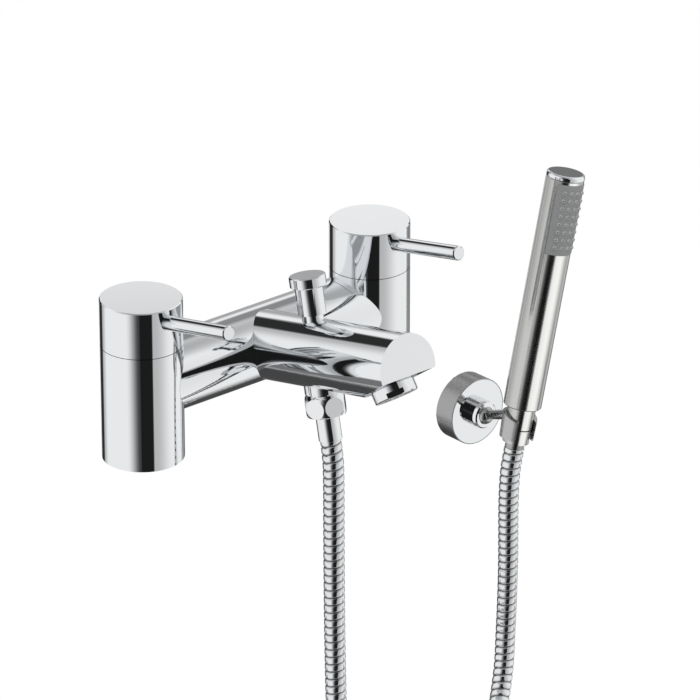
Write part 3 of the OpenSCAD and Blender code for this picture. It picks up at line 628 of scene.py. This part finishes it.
@dataclass
class Hose:
    """The ribbed hose in three pieces: mixer to coil, up to the holder, and on to the handset."""

    diameter_mm: float = 13.0
    rib_mm: float = 5.0
    groove_mm: float = 0.85
    # Rings for each rib and points around a ring, the same number, so that the winding is even
    sides: int = 16
    curve_steps: int = 12
    coil_centre_mm: Point = (84.0, -9.0, -298.0)
    coil_r_mm: float = 67.0
    coil_start: float = -90.0
    coil_angle: float = 755.0
    coil_climb_mm: float = 29.0
    # The straight run at the coil's upper end, up to the riser
    coil_lead_mm: float = 13.0
    coil_steps: int = 200
    # Where the hose starts to follow the holder, and where the handset takes over
    bend_z_mm: float = -255.0
    top_z_mm: float = -166.0
    tie_angle: float = 120.0
    tie_w_mm: float = 8.0
    tie_t_mm: float = 1.2
    tie_slack_mm: float = 0.3
    tie_round_mm: float = 4.0
    tie_edge_mm: float = 0.35

    MIXER_ROUTE = (
        (0, -67.15, 6.2), (0, -69.3, -7.5), (0, -69.9, -22), (0, -69.95, -40), (0, -70, -62),
        (0, -70.2, -90), (0, -70.6, -120), (0, -71.3, -150), (0, -72.3, -180), (0, -73.6, -210),
        (0, -75, -240), (4.4, -75.7, -262.2), (17, -76, -281), (35.8, -76, -293.6), (58, -76, -298),
        (71, -76, -298),
    )
    HANDSET_ROUTE = (
        (203.4, -10.65, -82.3), (200.9, -10.2, -96), (199.4, -10.5, -109.5), (198.6, -11, -123),
        (198.3, -11.5, -139), (198.2, -11.8, -160), (197.8, -11.8, -185), (196.8, -11.8, -211),
        (193.2, -14.4, -233.2), (182.9, -21.6, -252), (167.5, -32.4, -264.6), (149.3, -45.1, -269),
        (133.1, -56.4, -269),
    )
    # Share of the groove's depth from the middle of a groove to the crown, in steps of a ring
    RIB = (1.0, 0.6, 0.22, 0.1, 0.04, 0.0)

    def smooth(self, route: Sequence[Point]) -> list[Vector]:
        """Draw one smooth curve through a route's points.

        Args:
            route: The points in millimetres.

        Returns:
            Close points on the curve.
        """
        points = [Vector(p) for p in route]
        points = [2 * points[0] - points[1], *points, 2 * points[-1] - points[-2]]
        line = []
        for a, b, c, d in zip(points, points[1:], points[2:], points[3:]):
            for k in range(self.curve_steps):
                t = k / self.curve_steps
                line.append(
                    b + 0.5 * t * (c - a + t * (2 * a - 5 * b + 4 * c - d + t * (3 * (b - c) + d - a)))
                )
        return [*line, points[-2]]

    def coil(self) -> list[Vector]:
        """Draw the loops on the floor and the straight run that leaves them.

        Returns:
            Close points from the lower end of the coil to the riser, in millimetres.
        """
        line = []
        for k in range(self.coil_steps + 1):
            share = k / self.coil_steps
            angle = math.radians(self.coil_start + self.coil_angle * share)
            line.append(
                Vector(self.coil_centre_mm)
                + Vector((
                    self.coil_r_mm * math.cos(angle),
                    self.coil_r_mm * math.sin(angle),
                    self.coil_climb_mm * share,
                ))
            )
        last = math.radians(self.coil_start + self.coil_angle)
        return [*line, line[-1] + self.coil_lead_mm * Vector((-math.sin(last), math.cos(last), 0))]

    def ring_centres(self, line: Sequence[Vector]) -> list[Vector]:
        """Space the rings evenly along a line, with a whole number of ribs.

        Args:
            line: Close points in millimetres.

        Returns:
            The ring centres.
        """
        run = [0.0]
        for a, b in zip(line, line[1:]):
            run.append(run[-1] + (b - a).length)
        rings = round(run[-1] / self.rib_mm) * self.sides
        centres = []
        i = 0
        for ring in range(rings):
            s = run[-1] * ring / rings
            while run[i + 1] < s:
                i += 1
            centres.append(line[i].lerp(line[i + 1], (s - run[i]) / (run[i + 1] - run[i])))
        return [*centres, line[-1]]

    def groove_share(self, ring: int, k: int) -> float:
        """Find how deep in the groove a point lies; the groove climbs one rib in a turn.

        Args:
            ring: The ring's number along the hose.
            k: The point's number around the ring.

        Returns:
            1 at the bottom of the groove, 0 on the crown.
        """
        step = (ring - k) % self.sides
        return self.RIB[min(step, self.sides - step, len(self.RIB) - 1)]

    def tube(self, name: str, line: Sequence[Vector]) -> tuple[bpy.types.Object, list[Vector], float]:
        """Build a closed ribbed tube along a line.

        Args:
            name: The piece's name.
            line: Close points in millimetres.

        Returns:
            The piece, its ring centres in metres and its length in metres.
        """
        centres = self.ring_centres(line)
        last = len(centres) - 1
        verts = []
        shares = []
        side = Vector((0, 1, 0.01))
        for i, centre in enumerate(centres):
            way = (centres[min(i + 1, last)] - centres[max(i - 1, 0)]).normalized()
            side = (side - side.dot(way) * way).normalized()
            other = way.cross(side)
            for k in range(self.sides):
                shares.append(self.groove_share(i, k))
                radius = self.diameter_mm / 2 - self.groove_mm * shares[-1]
                angle = math.tau * k / self.sides
                verts.append((centre + radius * (math.cos(angle) * side + math.sin(angle) * other)) * MM)
        n = self.sides
        faces = [
            (i * n + k, i * n + (k + 1) % n, (i + 1) * n + (k + 1) % n, (i + 1) * n + k)
            for i in range(last)
            for k in range(n)
        ]
        faces.append(tuple(reversed(range(n))))
        faces.append(tuple(range(last * n, last * n + n)))
        mesh = bpy.data.meshes.new(name)
        mesh.from_pydata(verts, [], faces)
        mesh.polygons.foreach_set("use_smooth", [True] * len(faces))
        groove = mesh.attributes.new(GROOVE, "FLOAT", "POINT")
        groove.data.foreach_set("value", shares)
        piece = bpy.data.objects.new(name, mesh)
        bpy.context.scene.collection.objects.link(piece)
        path = [c * MM for c in centres]
        return piece, path, sum((b - a).length for a, b in zip(path, path[1:]))

    def declare(
        self, piece: bpy.types.Object, length: float,
        on_it: Sequence[bpy.types.Object] = (),
    ) -> None:
        """Log a piece of hose with its length and faces.

        Args:
            piece: The piece.
            length: Its length in metres.
            on_it: Separate pieces on it; not used.
        """
        LOG.info("%s: %.0f mm of hose, %d faces", piece.name, length / MM, len(piece.data.polygons))

    def build_tie(self) -> bpy.types.Object:
        """Model the strap that holds the coil's turns together.

        Returns:
            The strap, in place.
        """
        per_degree = self.coil_climb_mm / self.coil_angle
        inner_w = self.diameter_mm + 2 * self.tie_slack_mm
        inner_h = inner_w + 360 * per_degree
        middle = (self.tie_angle - self.coil_start + 180) * per_degree
        deselect()
        bpy.ops.mesh.primitive_cube_add(size=1)
        strap = bpy.context.object
        strap.name = "coil_strap"
        bpy.ops.object.mode_set(mode="EDIT")
        bpy.ops.mesh.select_all(action="SELECT")
        bpy.ops.transform.resize(value=(inner_w * MM, self.tie_w_mm * MM, inner_h * MM))
        bpy.ops.mesh.select_mode(type="FACE")
        bpy.ops.mesh.select_all(action="DESELECT")
        bpy.ops.object.mode_set(mode="OBJECT")
        for face in strap.data.polygons:
            face.select = abs(face.normal.y) > 0.9
        bpy.ops.object.mode_set(mode="EDIT")
        bpy.ops.mesh.delete(type="FACE")
        bpy.ops.object.mode_set(mode="OBJECT")
        apply_modifier(
            strap, "BEVEL", width=self.tie_round_mm * MM, segments=6, limit_method="ANGLE",
            angle_limit=ROUNDED_FROM,
        )
        apply_modifier(strap, "SOLIDIFY", thickness=self.tie_t_mm * MM, offset=1.0)
        soften(strap, self.tie_edge_mm)
        place(
            strap,
            Matrix.Translation(Vector(self.coil_centre_mm) * MM)
            @ Matrix.Rotation(math.radians(self.tie_angle), 4, "Z")
            @ Matrix.Translation(Vector((self.coil_r_mm, 0, middle)) * MM),
        )
        settle(strap, Slot.RUBBER, Body.MIXER, ["coil_tie"])
        return strap

    def build(self) -> None:
        """Build the hose from the mixer to the handset."""
        upward = list(reversed(self.smooth(self.HANDSET_ROUTE)))
        cut = next(i for i, p in enumerate(upward) if p.z > self.top_z_mm)
        stand, stand_path, stand_length = self.tube(
            "hose_mixer_and_coil", self.smooth(self.MIXER_ROUTE) + self.coil()
        )
        riser, riser_path, riser_length = self.tube("hose_riser", upward[: cut + 1])
        top, top_path, top_length = self.tube("hose_top", upward[cut:])
        settle(stand, Slot.HOSE, Body.MIXER, ["hose_mixer_stretch", "hose_coil"])
        for piece in (riser, top):
            wear(piece, Slot.HOSE)
            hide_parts("hose_handset_stretch")
        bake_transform(riser)
        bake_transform(top)
        self.declare(stand, stand_length, [self.build_tie()])
        self.declare(riser, riser_length)
        self.declare(top, top_length)


@dataclass
class SprayPad:
    """The handset's grey pad with rows of nozzles."""

    axis_frame: Matrix
    inner_r_mm: float = 10.8
    outer_r_mm: float = 12.55
    low_mm: float = 110.55
    high_mm: float = 156.75
    half_angle: float = 56.7
    rows: int = 8
    columns: int = 4
    row_mm: float = 5.144
    first_row_mm: float = 115.644
    column_step: float = 20.73
    edge_mm: float = 0.4
    pad_steps: int = 38
    nozzle_steps: int = 16

    # A blunt nozzle with its hole in the tip, as radius and height
    NOZZLE = (
        (0, 0.02), (0.5, 0.04), (0.55, 1.05), (0.7, 1.2), (0.95, 1.15), (1.15, 0.7), (1.3, 0.1),
        (1.6, -0.3),
    )
    # The nozzles are painted lighter than the pad's silicone: a painted highlight for the light on their
    # rims
    LIGHTENED_NOZZLE_SILICONE = MouldedGrain(
        "nozzle_silicone_painted_highlight", "#a6a7a7", 0.38, grain_mm=0.7, depth_mm=0.02, dark="#9a9b9b"
    )

    def build(self) -> None:
        """Model the pad and its nozzles, and put them on the handset."""
        outline = (
            (self.inner_r_mm, self.low_mm), (self.outer_r_mm, self.low_mm),
            (self.outer_r_mm, self.high_mm), (self.inner_r_mm, self.high_mm),
            (self.inner_r_mm, self.low_mm),
        )
        pad = turned("pad_face", outline, self.edge_mm, steps=self.pad_steps, sweep=2 * self.half_angle)
        middle = sum((v.co for v in pad.data.vertices), Vector()) / len(pad.data.vertices)
        place(pad, Matrix.Rotation(-math.pi / 2 - math.atan2(middle.y, middle.x), 4, "Z"))
        nozzle = turned("nozzle", self.NOZZLE, 0, steps=self.nozzle_steps)
        nozzles = []
        for row in range(self.rows):
            for column in range(self.columns):
                copy = nozzle.copy()
                copy.data = nozzle.data.copy()
                bpy.context.scene.collection.objects.link(copy)
                turn = self.column_step * (column - (self.columns - 1) / 2)
                place(
                    copy,
                    Matrix.Rotation(math.radians(turn), 4, "Z")
                    @ frame_at((0, -self.outer_r_mm, self.first_row_mm + row * self.row_mm), ("X", 90)),
                )
                nozzles.append(copy)
        bpy.data.objects.remove(nozzle)
        tips = joined("spray_nozzles", nozzles)
        for piece in (pad, tips):
            place(piece, self.axis_frame)
        settle(pad, Slot.SILICONE, Body.HANDSET, ["spray_pad"])
        # Painted highlight: the nozzles wear a lighter copy of the pad's silicone
        settle(tips, Slot.SILICONE, Body.HANDSET, ["spray_pad"], self.LIGHTENED_NOZZLE_SILICONE)


@dataclass
class HoseNut:
    """The hexagon nut under the spout: corners rounded by a ball cut, and soft edges between its flats."""

    frame: Matrix
    flats_mm: float = 23.6
    height_mm: float = 14.0
    low_mm: float = -38.0
    turn: float = 17.0
    # The ball that rounds the corners, against one through the ends of the flats, and how low it sits
    ball_mm: float = -0.8
    ball_drop_mm: float = 1.0
    edge_mm: float = 0.9
    edge_steps: int = 5
    bore_r_mm: float = 7.3
    bore_steps: int = 64
    ball_steps: tuple[int, int] = (128, 96)
    # The flats meet the ball at a low angle, and that edge stays crisp too
    crisp_from: float = 20.0

    def build(self) -> None:
        """Bevel a hexagon, cut it with a ball and a bore, and put it on the outlet."""
        deselect()
        bpy.ops.mesh.primitive_cylinder_add(
            vertices=6, radius=self.flats_mm / math.sqrt(3) * MM, depth=self.height_mm * MM
        )
        nut = bpy.context.object
        nut.name = "hexagon_hose_nut"
        bpy.ops.object.mode_set(mode="EDIT")
        bpy.ops.mesh.select_mode(type="EDGE")
        bpy.ops.mesh.select_all(action="DESELECT")
        bpy.ops.object.mode_set(mode="OBJECT")
        corners = nut.data.vertices
        for edge in nut.data.edges:
            ends = [corners[v].co.z for v in edge.vertices]
            edge.select = abs(ends[0] - ends[1]) > self.height_mm * MM / 2
        bpy.ops.object.mode_set(mode="EDIT")
        bpy.ops.mesh.bevel(offset=self.edge_mm * MM, segments=self.edge_steps, profile=0.5)
        bpy.ops.object.mode_set(mode="OBJECT")
        reach = math.hypot(self.flats_mm, self.height_mm) + self.ball_mm
        deselect()
        bpy.ops.mesh.primitive_uv_sphere_add(
            segments=self.ball_steps[0], ring_count=self.ball_steps[1], radius=reach / 2 * MM,
            location=(0, 0, -self.ball_drop_mm * MM),
        )
        ball = bpy.context.object
        deselect()
        bpy.ops.mesh.primitive_cylinder_add(
            vertices=self.bore_steps, radius=self.bore_r_mm * MM, depth=3 * self.height_mm * MM
        )
        bore = bpy.context.object
        apply_modifier(nut, "BOOLEAN", operation="INTERSECT", object=ball)
        apply_modifier(nut, "BOOLEAN", operation="DIFFERENCE", object=bore)
        for cutter in (ball, bore):
            bpy.data.objects.remove(cutter)
        deselect()
        bpy.context.view_layer.objects.active = nut
        nut.select_set(True)
        bpy.ops.object.shade_smooth_by_angle(angle=math.radians(self.crisp_from))
        middle = self.low_mm + self.height_mm / 2
        place(nut, self.frame @ frame_at((0, 0, middle), ("Z", self.turn)))
        settle(nut, Slot.CHROME, Body.MIXER, ["hose_nut"])


@dataclass
class WallPlate:
    """The holder's wall plate: a mirror face let into a satin rim."""

    frame: Matrix
    radius_mm: float = 22.2
    depth_mm: float = 15.0
    rim_w_mm: float = 2.0
    face_t_mm: float = 1.6
    lip_mm: float = 0.5
    bore_r_mm: float = 7.1
    gap_mm: float = 0.05
    edge_mm: float = 0.4

    # The rim is turned across, so its lines run around it and it looks evenly grey
    RIM = BrushedPlate("satin_chrome_rim", "#a4a4a4", 0.3, 1.0, axis=(1.0, 0.0, 0.0), line_length_mm=12.0)

    def build(self) -> None:
        """Turn the rim and the face, and put them on the wall."""
        inner = self.radius_mm - self.rim_w_mm
        seat = self.radius_mm - self.lip_mm
        step = self.depth_mm - self.face_t_mm
        rim = turned("wall_plate_rim", (
            (inner, 0), (self.radius_mm, 0), (self.radius_mm, self.depth_mm), (seat, self.depth_mm),
            (seat, step), (inner, step), (inner, 0),
        ), self.edge_mm)
        face = turned("wall_plate_face", (
            (self.bore_r_mm, step + self.gap_mm), (seat - self.gap_mm, step + self.gap_mm),
            (seat - self.gap_mm, self.depth_mm), (self.bore_r_mm, self.depth_mm),
            (self.bore_r_mm, step + self.gap_mm),
        ), self.edge_mm / 2)
        for piece in (rim, face):
            place(piece, self.frame)
        settle(rim, Slot.SATIN, Body.MIXER, ["wall_plate"], self.RIM)
        settle(face, Slot.CHROME, Body.MIXER, ["wall_plate"])


@dataclass
class Card:
    """A studio card that only mirrors see, with soft sides: a dark one, or a board of added light.

    Azimuth 0 is the spout's side and 90 the cold side; elevation is above the horizon.
    """

    name: str
    azimuth: tuple[float, float]
    azimuth_soft: tuple[float, float]
    elevation: tuple[float, float]
    elevation_soft: tuple[float, float]
    light: float
    # The nodes that a board of added light is for; a plain card is for all of them
    only_on: tuple[str, ...] = ()

    # The narrowest fade, for a side that looks sharp
    SHARP = 0.5
    # The highest and lowest edge, short of the poles, and the steps of its curve, in degrees
    POLE = 89.0
    RISE_STEP = 6
    TURN_STEP = 5

    def soft_band(
        self, tree: bpy.types.NodeTree, angle: bpy.types.NodeSocket, limits: tuple[float, float],
        soft: tuple[float, float],
    ) -> bpy.types.NodeSocket:
        """Cover the angles between two limits, fading out past them.

        Args:
            tree: The card's nodes.
            angle: An angle in radians.
            limits: The lowest and the highest covered angle in degrees.
            soft: How far the cover fades below and above them, in degrees.

        Returns:
            1 inside the limits, 0 well outside them.
        """
        low, high = (math.radians(a) for a in limits)
        below, above = (math.radians(max(a, self.SHARP)) for a in soft)
        rise = add_node(
            tree, "ShaderNodeMapRange",
            {"interpolation_type": "SMOOTHSTEP", "From Min": low - below, "From Max": low},
            {"Value": angle},
        )
        fall = add_node(
            tree, "ShaderNodeMapRange",
            {"interpolation_type": "SMOOTHSTEP", "From Min": high, "From Max": high + above,
             "To Min": 1.0, "To Max": 0.0},
            {"Value": angle},
        )
        return add_node(
            tree, "ShaderNodeMath", {"operation": "MULTIPLY"},
            {0: rise.outputs["Result"], 1: fall.outputs["Result"]},
        ).outputs[0]

    def material(self, centre: float) -> bpy.types.Material:
        """Make the card's material: plain in the middle, clear at its sides.

        Args:
            centre: Azimuth of the card's middle in degrees.

        Returns:
            The material.
        """
        made = bpy.data.materials.new(self.name)
        made.use_nodes = True
        tree = made.node_tree
        tree.nodes.clear()
        coords = add_node(tree, "ShaderNodeTexCoord").outputs["Object"]
        ahead = add_node(
            tree, "ShaderNodeMapping", {"Rotation": (0, 0, -math.radians(centre))}, {"Vector": coords}
        )
        way = add_node(
            tree, "ShaderNodeVectorMath", {"operation": "NORMALIZE"}, {0: ahead.outputs["Vector"]}
        )
        parts = add_node(tree, "ShaderNodeSeparateXYZ", {}, {0: way.outputs["Vector"]})
        front = add_node(
            tree, "ShaderNodeMath", {"operation": "MULTIPLY", 1: -1.0}, {0: parts.outputs["Y"]}
        )
        around = add_node(
            tree, "ShaderNodeMath", {"operation": "ARCTAN2"}, {0: parts.outputs["X"], 1: front.outputs[0]}
        ).outputs[0]
        rise = add_node(
            tree, "ShaderNodeMath", {"operation": "ARCSINE"}, {0: parts.outputs["Z"]}
        ).outputs[0]
        sides = tuple(a - centre for a in self.azimuth)
        cover = add_node(
            tree, "ShaderNodeMath", {"operation": "MULTIPLY"},
            {0: self.soft_band(tree, around, sides, self.azimuth_soft),
             1: self.soft_band(tree, rise, self.elevation, self.elevation_soft)},
        )
        clear = add_node(tree, "ShaderNodeBsdfTransparent")
        plain = add_node(tree, "ShaderNodeEmission", {"Color": (self.light, self.light, self.light, 1)})
        if self.only_on:
            tree.links.new(cover.outputs[0], plain.inputs["Strength"])
            mixed = add_node(tree, "ShaderNodeAddShader", {}, {0: clear.outputs[0], 1: plain.outputs[0]})
        else:
            mixed = add_node(
                tree, "ShaderNodeMixShader", {},
                {0: cover.outputs[0], 1: clear.outputs[0], 2: plain.outputs[0]},
            )
        add_node(tree, "ShaderNodeOutputMaterial", {}, {"Surface": mixed.outputs[0]})
        return made

    def build(self, radius_m: float) -> bpy.types.Object:
        """Bend the card around the object.

        Args:
            radius_m: Its distance from the origin.

        Returns:
            The card.
        """
        first = self.azimuth[0] - self.azimuth_soft[0]
        last = self.azimuth[1] + self.azimuth_soft[1]
        low = max(-self.POLE, self.elevation[0] - self.elevation_soft[0])
        high = min(self.POLE, self.elevation[1] + self.elevation_soft[1])
        count = max(2, round((high - low) / self.RISE_STEP))
        heights = [math.radians(low + (high - low) * k / count) for k in range(count + 1)]
        reach = radius_m / MM
        sweep = min(360.0, last - first)
        card = turned(
            self.name, [(reach * math.cos(h), reach * math.sin(h)) for h in heights], 0,
            steps=max(4, round(sweep / self.TURN_STEP)), sweep=sweep,
        )
        centre = (first + last) / 2
        if sweep < 360:
            middle = sum((v.co for v in card.data.vertices), Vector())
            place(card, Matrix.Rotation(math.radians(centre - 90) - math.atan2(middle.y, middle.x), 4, "Z"))
        card.data.materials.append(self.material(centre))
        card.visible_camera = False
        card.visible_diffuse = False
        card.visible_transmission = False
        card.visible_shadow = False
        if self.only_on:
            lit = bpy.data.collections.new(self.name)
            for node in self.only_on:
                lit.objects.link(frame["nodes"][node])
            card.light_linking.receiver_collection = lit
        return card


SATIN_NODES = ("handset_tube", "handset_neck", "cone_nut")


@dataclass
class Studio:
    """A white sweep with soft light from above, and cards that give the chrome its bands."""

    floor_z_m: float
    floor_size_m: float = 12.0
    floor_paint: float = 0.9
    # How much of the floor is plain white to the eye, and how bright; the rest keeps the shadow
    floor_white: float = 0.85
    floor_glow: float = 1.04
    sky: float = 0.72
    key_watts: float = 30.0
    key_size_m: float = 2.4
    key_place_m: Point = (-0.9, -1.3, 2.0)
    key_aim_m: Point = (0.05, 0.0, 0.0)
    cards_m: float = 3.0
    card_gap_m: float = 0.03

    # From the farthest card to the nearest one
    CARDS = (
        Card("ceiling_card", (-181, 181), (0, 0), (62, 90), (22, 0), 0.42),
        Card("right_haze_card", (-20, -6), (4, 56), (-48, 58), (14, 12), 0.56),
        Card("back_haze_card", (184, 192), (6, 20), (-50, 40), (8, 14), 0.56),
        Card("back_wall_card", (108, 150), (6, 10), (-40, 8), (8, 12), 0.44),
        Card("high_back_card", (116, 146), (12, 10), (32, 44), (8.5, 10), 0.3),
        Card("back_right_card", (100, 106), (3, 3), (-34, 12), (4, 8), 0.18),
        Card("back_slit_card", (117, 131), (3, 3), (-34, -16), (4, 5), 0.1),
        Card("right_slit_card", (60, 70), (5, 4), (-38, -28), (4, 3), 0.3),
        Card("back_left_card", (164, 186), (7, 6), (-38, 34), (6, 9), 0.03),
        Card("low_wall_card", (106, 165), (6, 8), (-50, -36), (4, 5), 0.1),
        Card("under_card", (-181, 181), (0, 0), (-90, -66), (0, 14), 0.16),
        Card("low_back_card", (104, 204), (44, 24), (-90, -46), (0, 9), 0.07),
        Card("low_left_card", (213, 222), (6, 6), (-41, -31), (3, 4), 0.2),
        Card("camera_side_card", (-48, -30), (36, 10), (-50, 42), (10, 12), 0.06),
        Card("camera_core_card", (-44, -13), (3, 4), (-50, 40), (8, 8), 0.014),
        Card("cap_card", (127, 138), (3, 3), (6, 15), (3, 3), 0.2),
        Card("handset_board", (-8, 20), (12, 48), (-60, 20), (10, 10), 1.6, SATIN_NODES),
        Card("handset_back_board", (160, 192), (10, 10), (-60, 40), (10, 10), 0.65, SATIN_NODES),
        Card("handset_side_board", (-105, -70), (50, 12), (-60, 40), (10, 10), 0.44, SATIN_NODES),
    )

    def seen_directly(self, tree: bpy.types.NodeTree) -> bpy.types.NodeSocket:
        """Find the rays that look at the background: the camera's, and those of mirrors and glass.

        Args:
            tree: The nodes of the floor or the world.

        Returns:
            1 for such a ray, 0 for one that only lights.
        """
        path = add_node(tree, "ShaderNodeLightPath")
        either = add_node(
            tree, "ShaderNodeMath", {"operation": "MAXIMUM"},
            {0: path.outputs["Is Camera Ray"], 1: path.outputs["Is Glossy Ray"]},
        )
        return add_node(
            tree, "ShaderNodeMath", {"operation": "MAXIMUM"},
            {0: either.outputs[0], 1: path.outputs["Is Transmission Ray"]},
        ).outputs[0]

    def build_world(self) -> None:
        """Light from all round, seen as white."""
        world = bpy.data.worlds.new("white_sweep")
        world.use_nodes = True
        tree = world.node_tree
        tree.nodes.clear()
        light = add_node(tree, "ShaderNodeBackground", {"Color": (1, 1, 1, 1), "Strength": self.sky})
        white = add_node(tree, "ShaderNodeBackground", {"Color": (1, 1, 1, 1), "Strength": 1.0})
        mixed = add_node(
            tree, "ShaderNodeMixShader", {},
            {0: self.seen_directly(tree), 1: light.outputs[0], 2: white.outputs[0]},
        )
        add_node(tree, "ShaderNodeOutputWorld", {}, {"Surface": mixed.outputs[0]})
        bpy.context.scene.world = world

    def build_floor(self) -> None:
        """Lay the white floor, which keeps a soft shadow."""
        deselect()
        bpy.ops.mesh.primitive_plane_add(size=self.floor_size_m, location=(0, 0, self.floor_z_m))
        floor = bpy.context.object
        floor.name = "floor"
        made = bpy.data.materials.new("white_floor")
        made.use_nodes = True
        tree = made.node_tree
        tree.nodes.clear()
        grey = (self.floor_paint, self.floor_paint, self.floor_paint, 1)
        paint = add_node(tree, "ShaderNodeBsdfDiffuse", {"Color": grey})
        glow = add_node(tree, "ShaderNodeEmission", {"Color": (1, 1, 1, 1), "Strength": self.floor_glow})
        share = add_node(
            tree, "ShaderNodeMath", {"operation": "MULTIPLY", 1: self.floor_white},
            {0: self.seen_directly(tree)},
        )
        mixed = add_node(
            tree, "ShaderNodeMixShader", {}, {0: share.outputs[0], 1: paint.outputs[0], 2: glow.outputs[0]}
        )
        add_node(tree, "ShaderNodeOutputMaterial", {}, {"Surface": mixed.outputs[0]})
        floor.data.materials.append(made)
        floor.visible_glossy = False

    def build_key(self) -> None:
        """Hang a large soft light above the camera's side."""
        lamp = bpy.data.lights.new("soft_key", "AREA")
        lamp.shape = "SQUARE"
        lamp.size = self.key_size_m
        lamp.energy = self.key_watts
        key = bpy.data.objects.new("soft_key", lamp)
        bpy.context.scene.collection.objects.link(key)
        key.location = self.key_place_m
        aim = Vector(self.key_aim_m) - key.location
        key.rotation_euler = aim.to_track_quat("-Z", "Y").to_euler()
        key.visible_glossy = False
        key.visible_camera = False

    def build(self) -> None:
        """Set up the studio."""
        bpy.context.scene.view_settings.view_transform = "Standard"
        self.build_world()
        self.build_floor()
        self.build_key()
        for layer, card in enumerate(self.CARDS):
            card.build(self.cards_m - layer * self.card_gap_m)
        LOG.info("studio: floor at %.4f m, %d cards", self.floor_z_m, len(self.CARDS))


def dress_nodes() -> None:
    """Give every CAD node that still shows the finish of its slot."""
    slots = {part["node"]: Slot(part["material_slot"]) for part in frame["record"]["subparts"]}
    for name, node in frame["nodes"].items():
        finish = NODE_FINISHES.get(name, FINISHES[slots[name]]).material()
        if not node.material_slots:
            node.data.materials.append(finish)
        for holder in node.material_slots:
            holder.material = finish
    LOG.info("%d CAD nodes dressed", len(slots))


# Where the sub-assemblies sit on the part: a place in millimetres, then turns in degrees
HOLDER_BALL = ((210.1, 25, -73.9), ("Z", -3.6), ("X", -20.7), ("Y", 12.2))
CLIP_ON_ARM = ((0, -38.9, 0), ("X", 21.3))
SPOUT_ROOT = ((0, 0, 47), ("X", -12))
OUTLET_ON_SPOUT = ((0, -57.2, 0),)
HOLDER_WALL = ((210.1, 46.4, -73.9), ("X", 90))


def main() -> None:
    """Build the scene in order."""
    logging.basicConfig(level=logging.INFO, format="%(name)s: %(message)s")
    Camera().build()
    Hose().build()
    dress_nodes()
    SprayPad(frame_at(*HOLDER_BALL) @ frame_at(*CLIP_ON_ARM)).build()
    HoseNut(frame_at(*SPOUT_ROOT) @ frame_at(*OUTLET_ON_SPOUT)).build()
    WallPlate(frame_at(*HOLDER_WALL)).build()
    Studio(floor_z_m=CAD_BOX[0][2]).build()


if __name__ == "__main__":
    main()
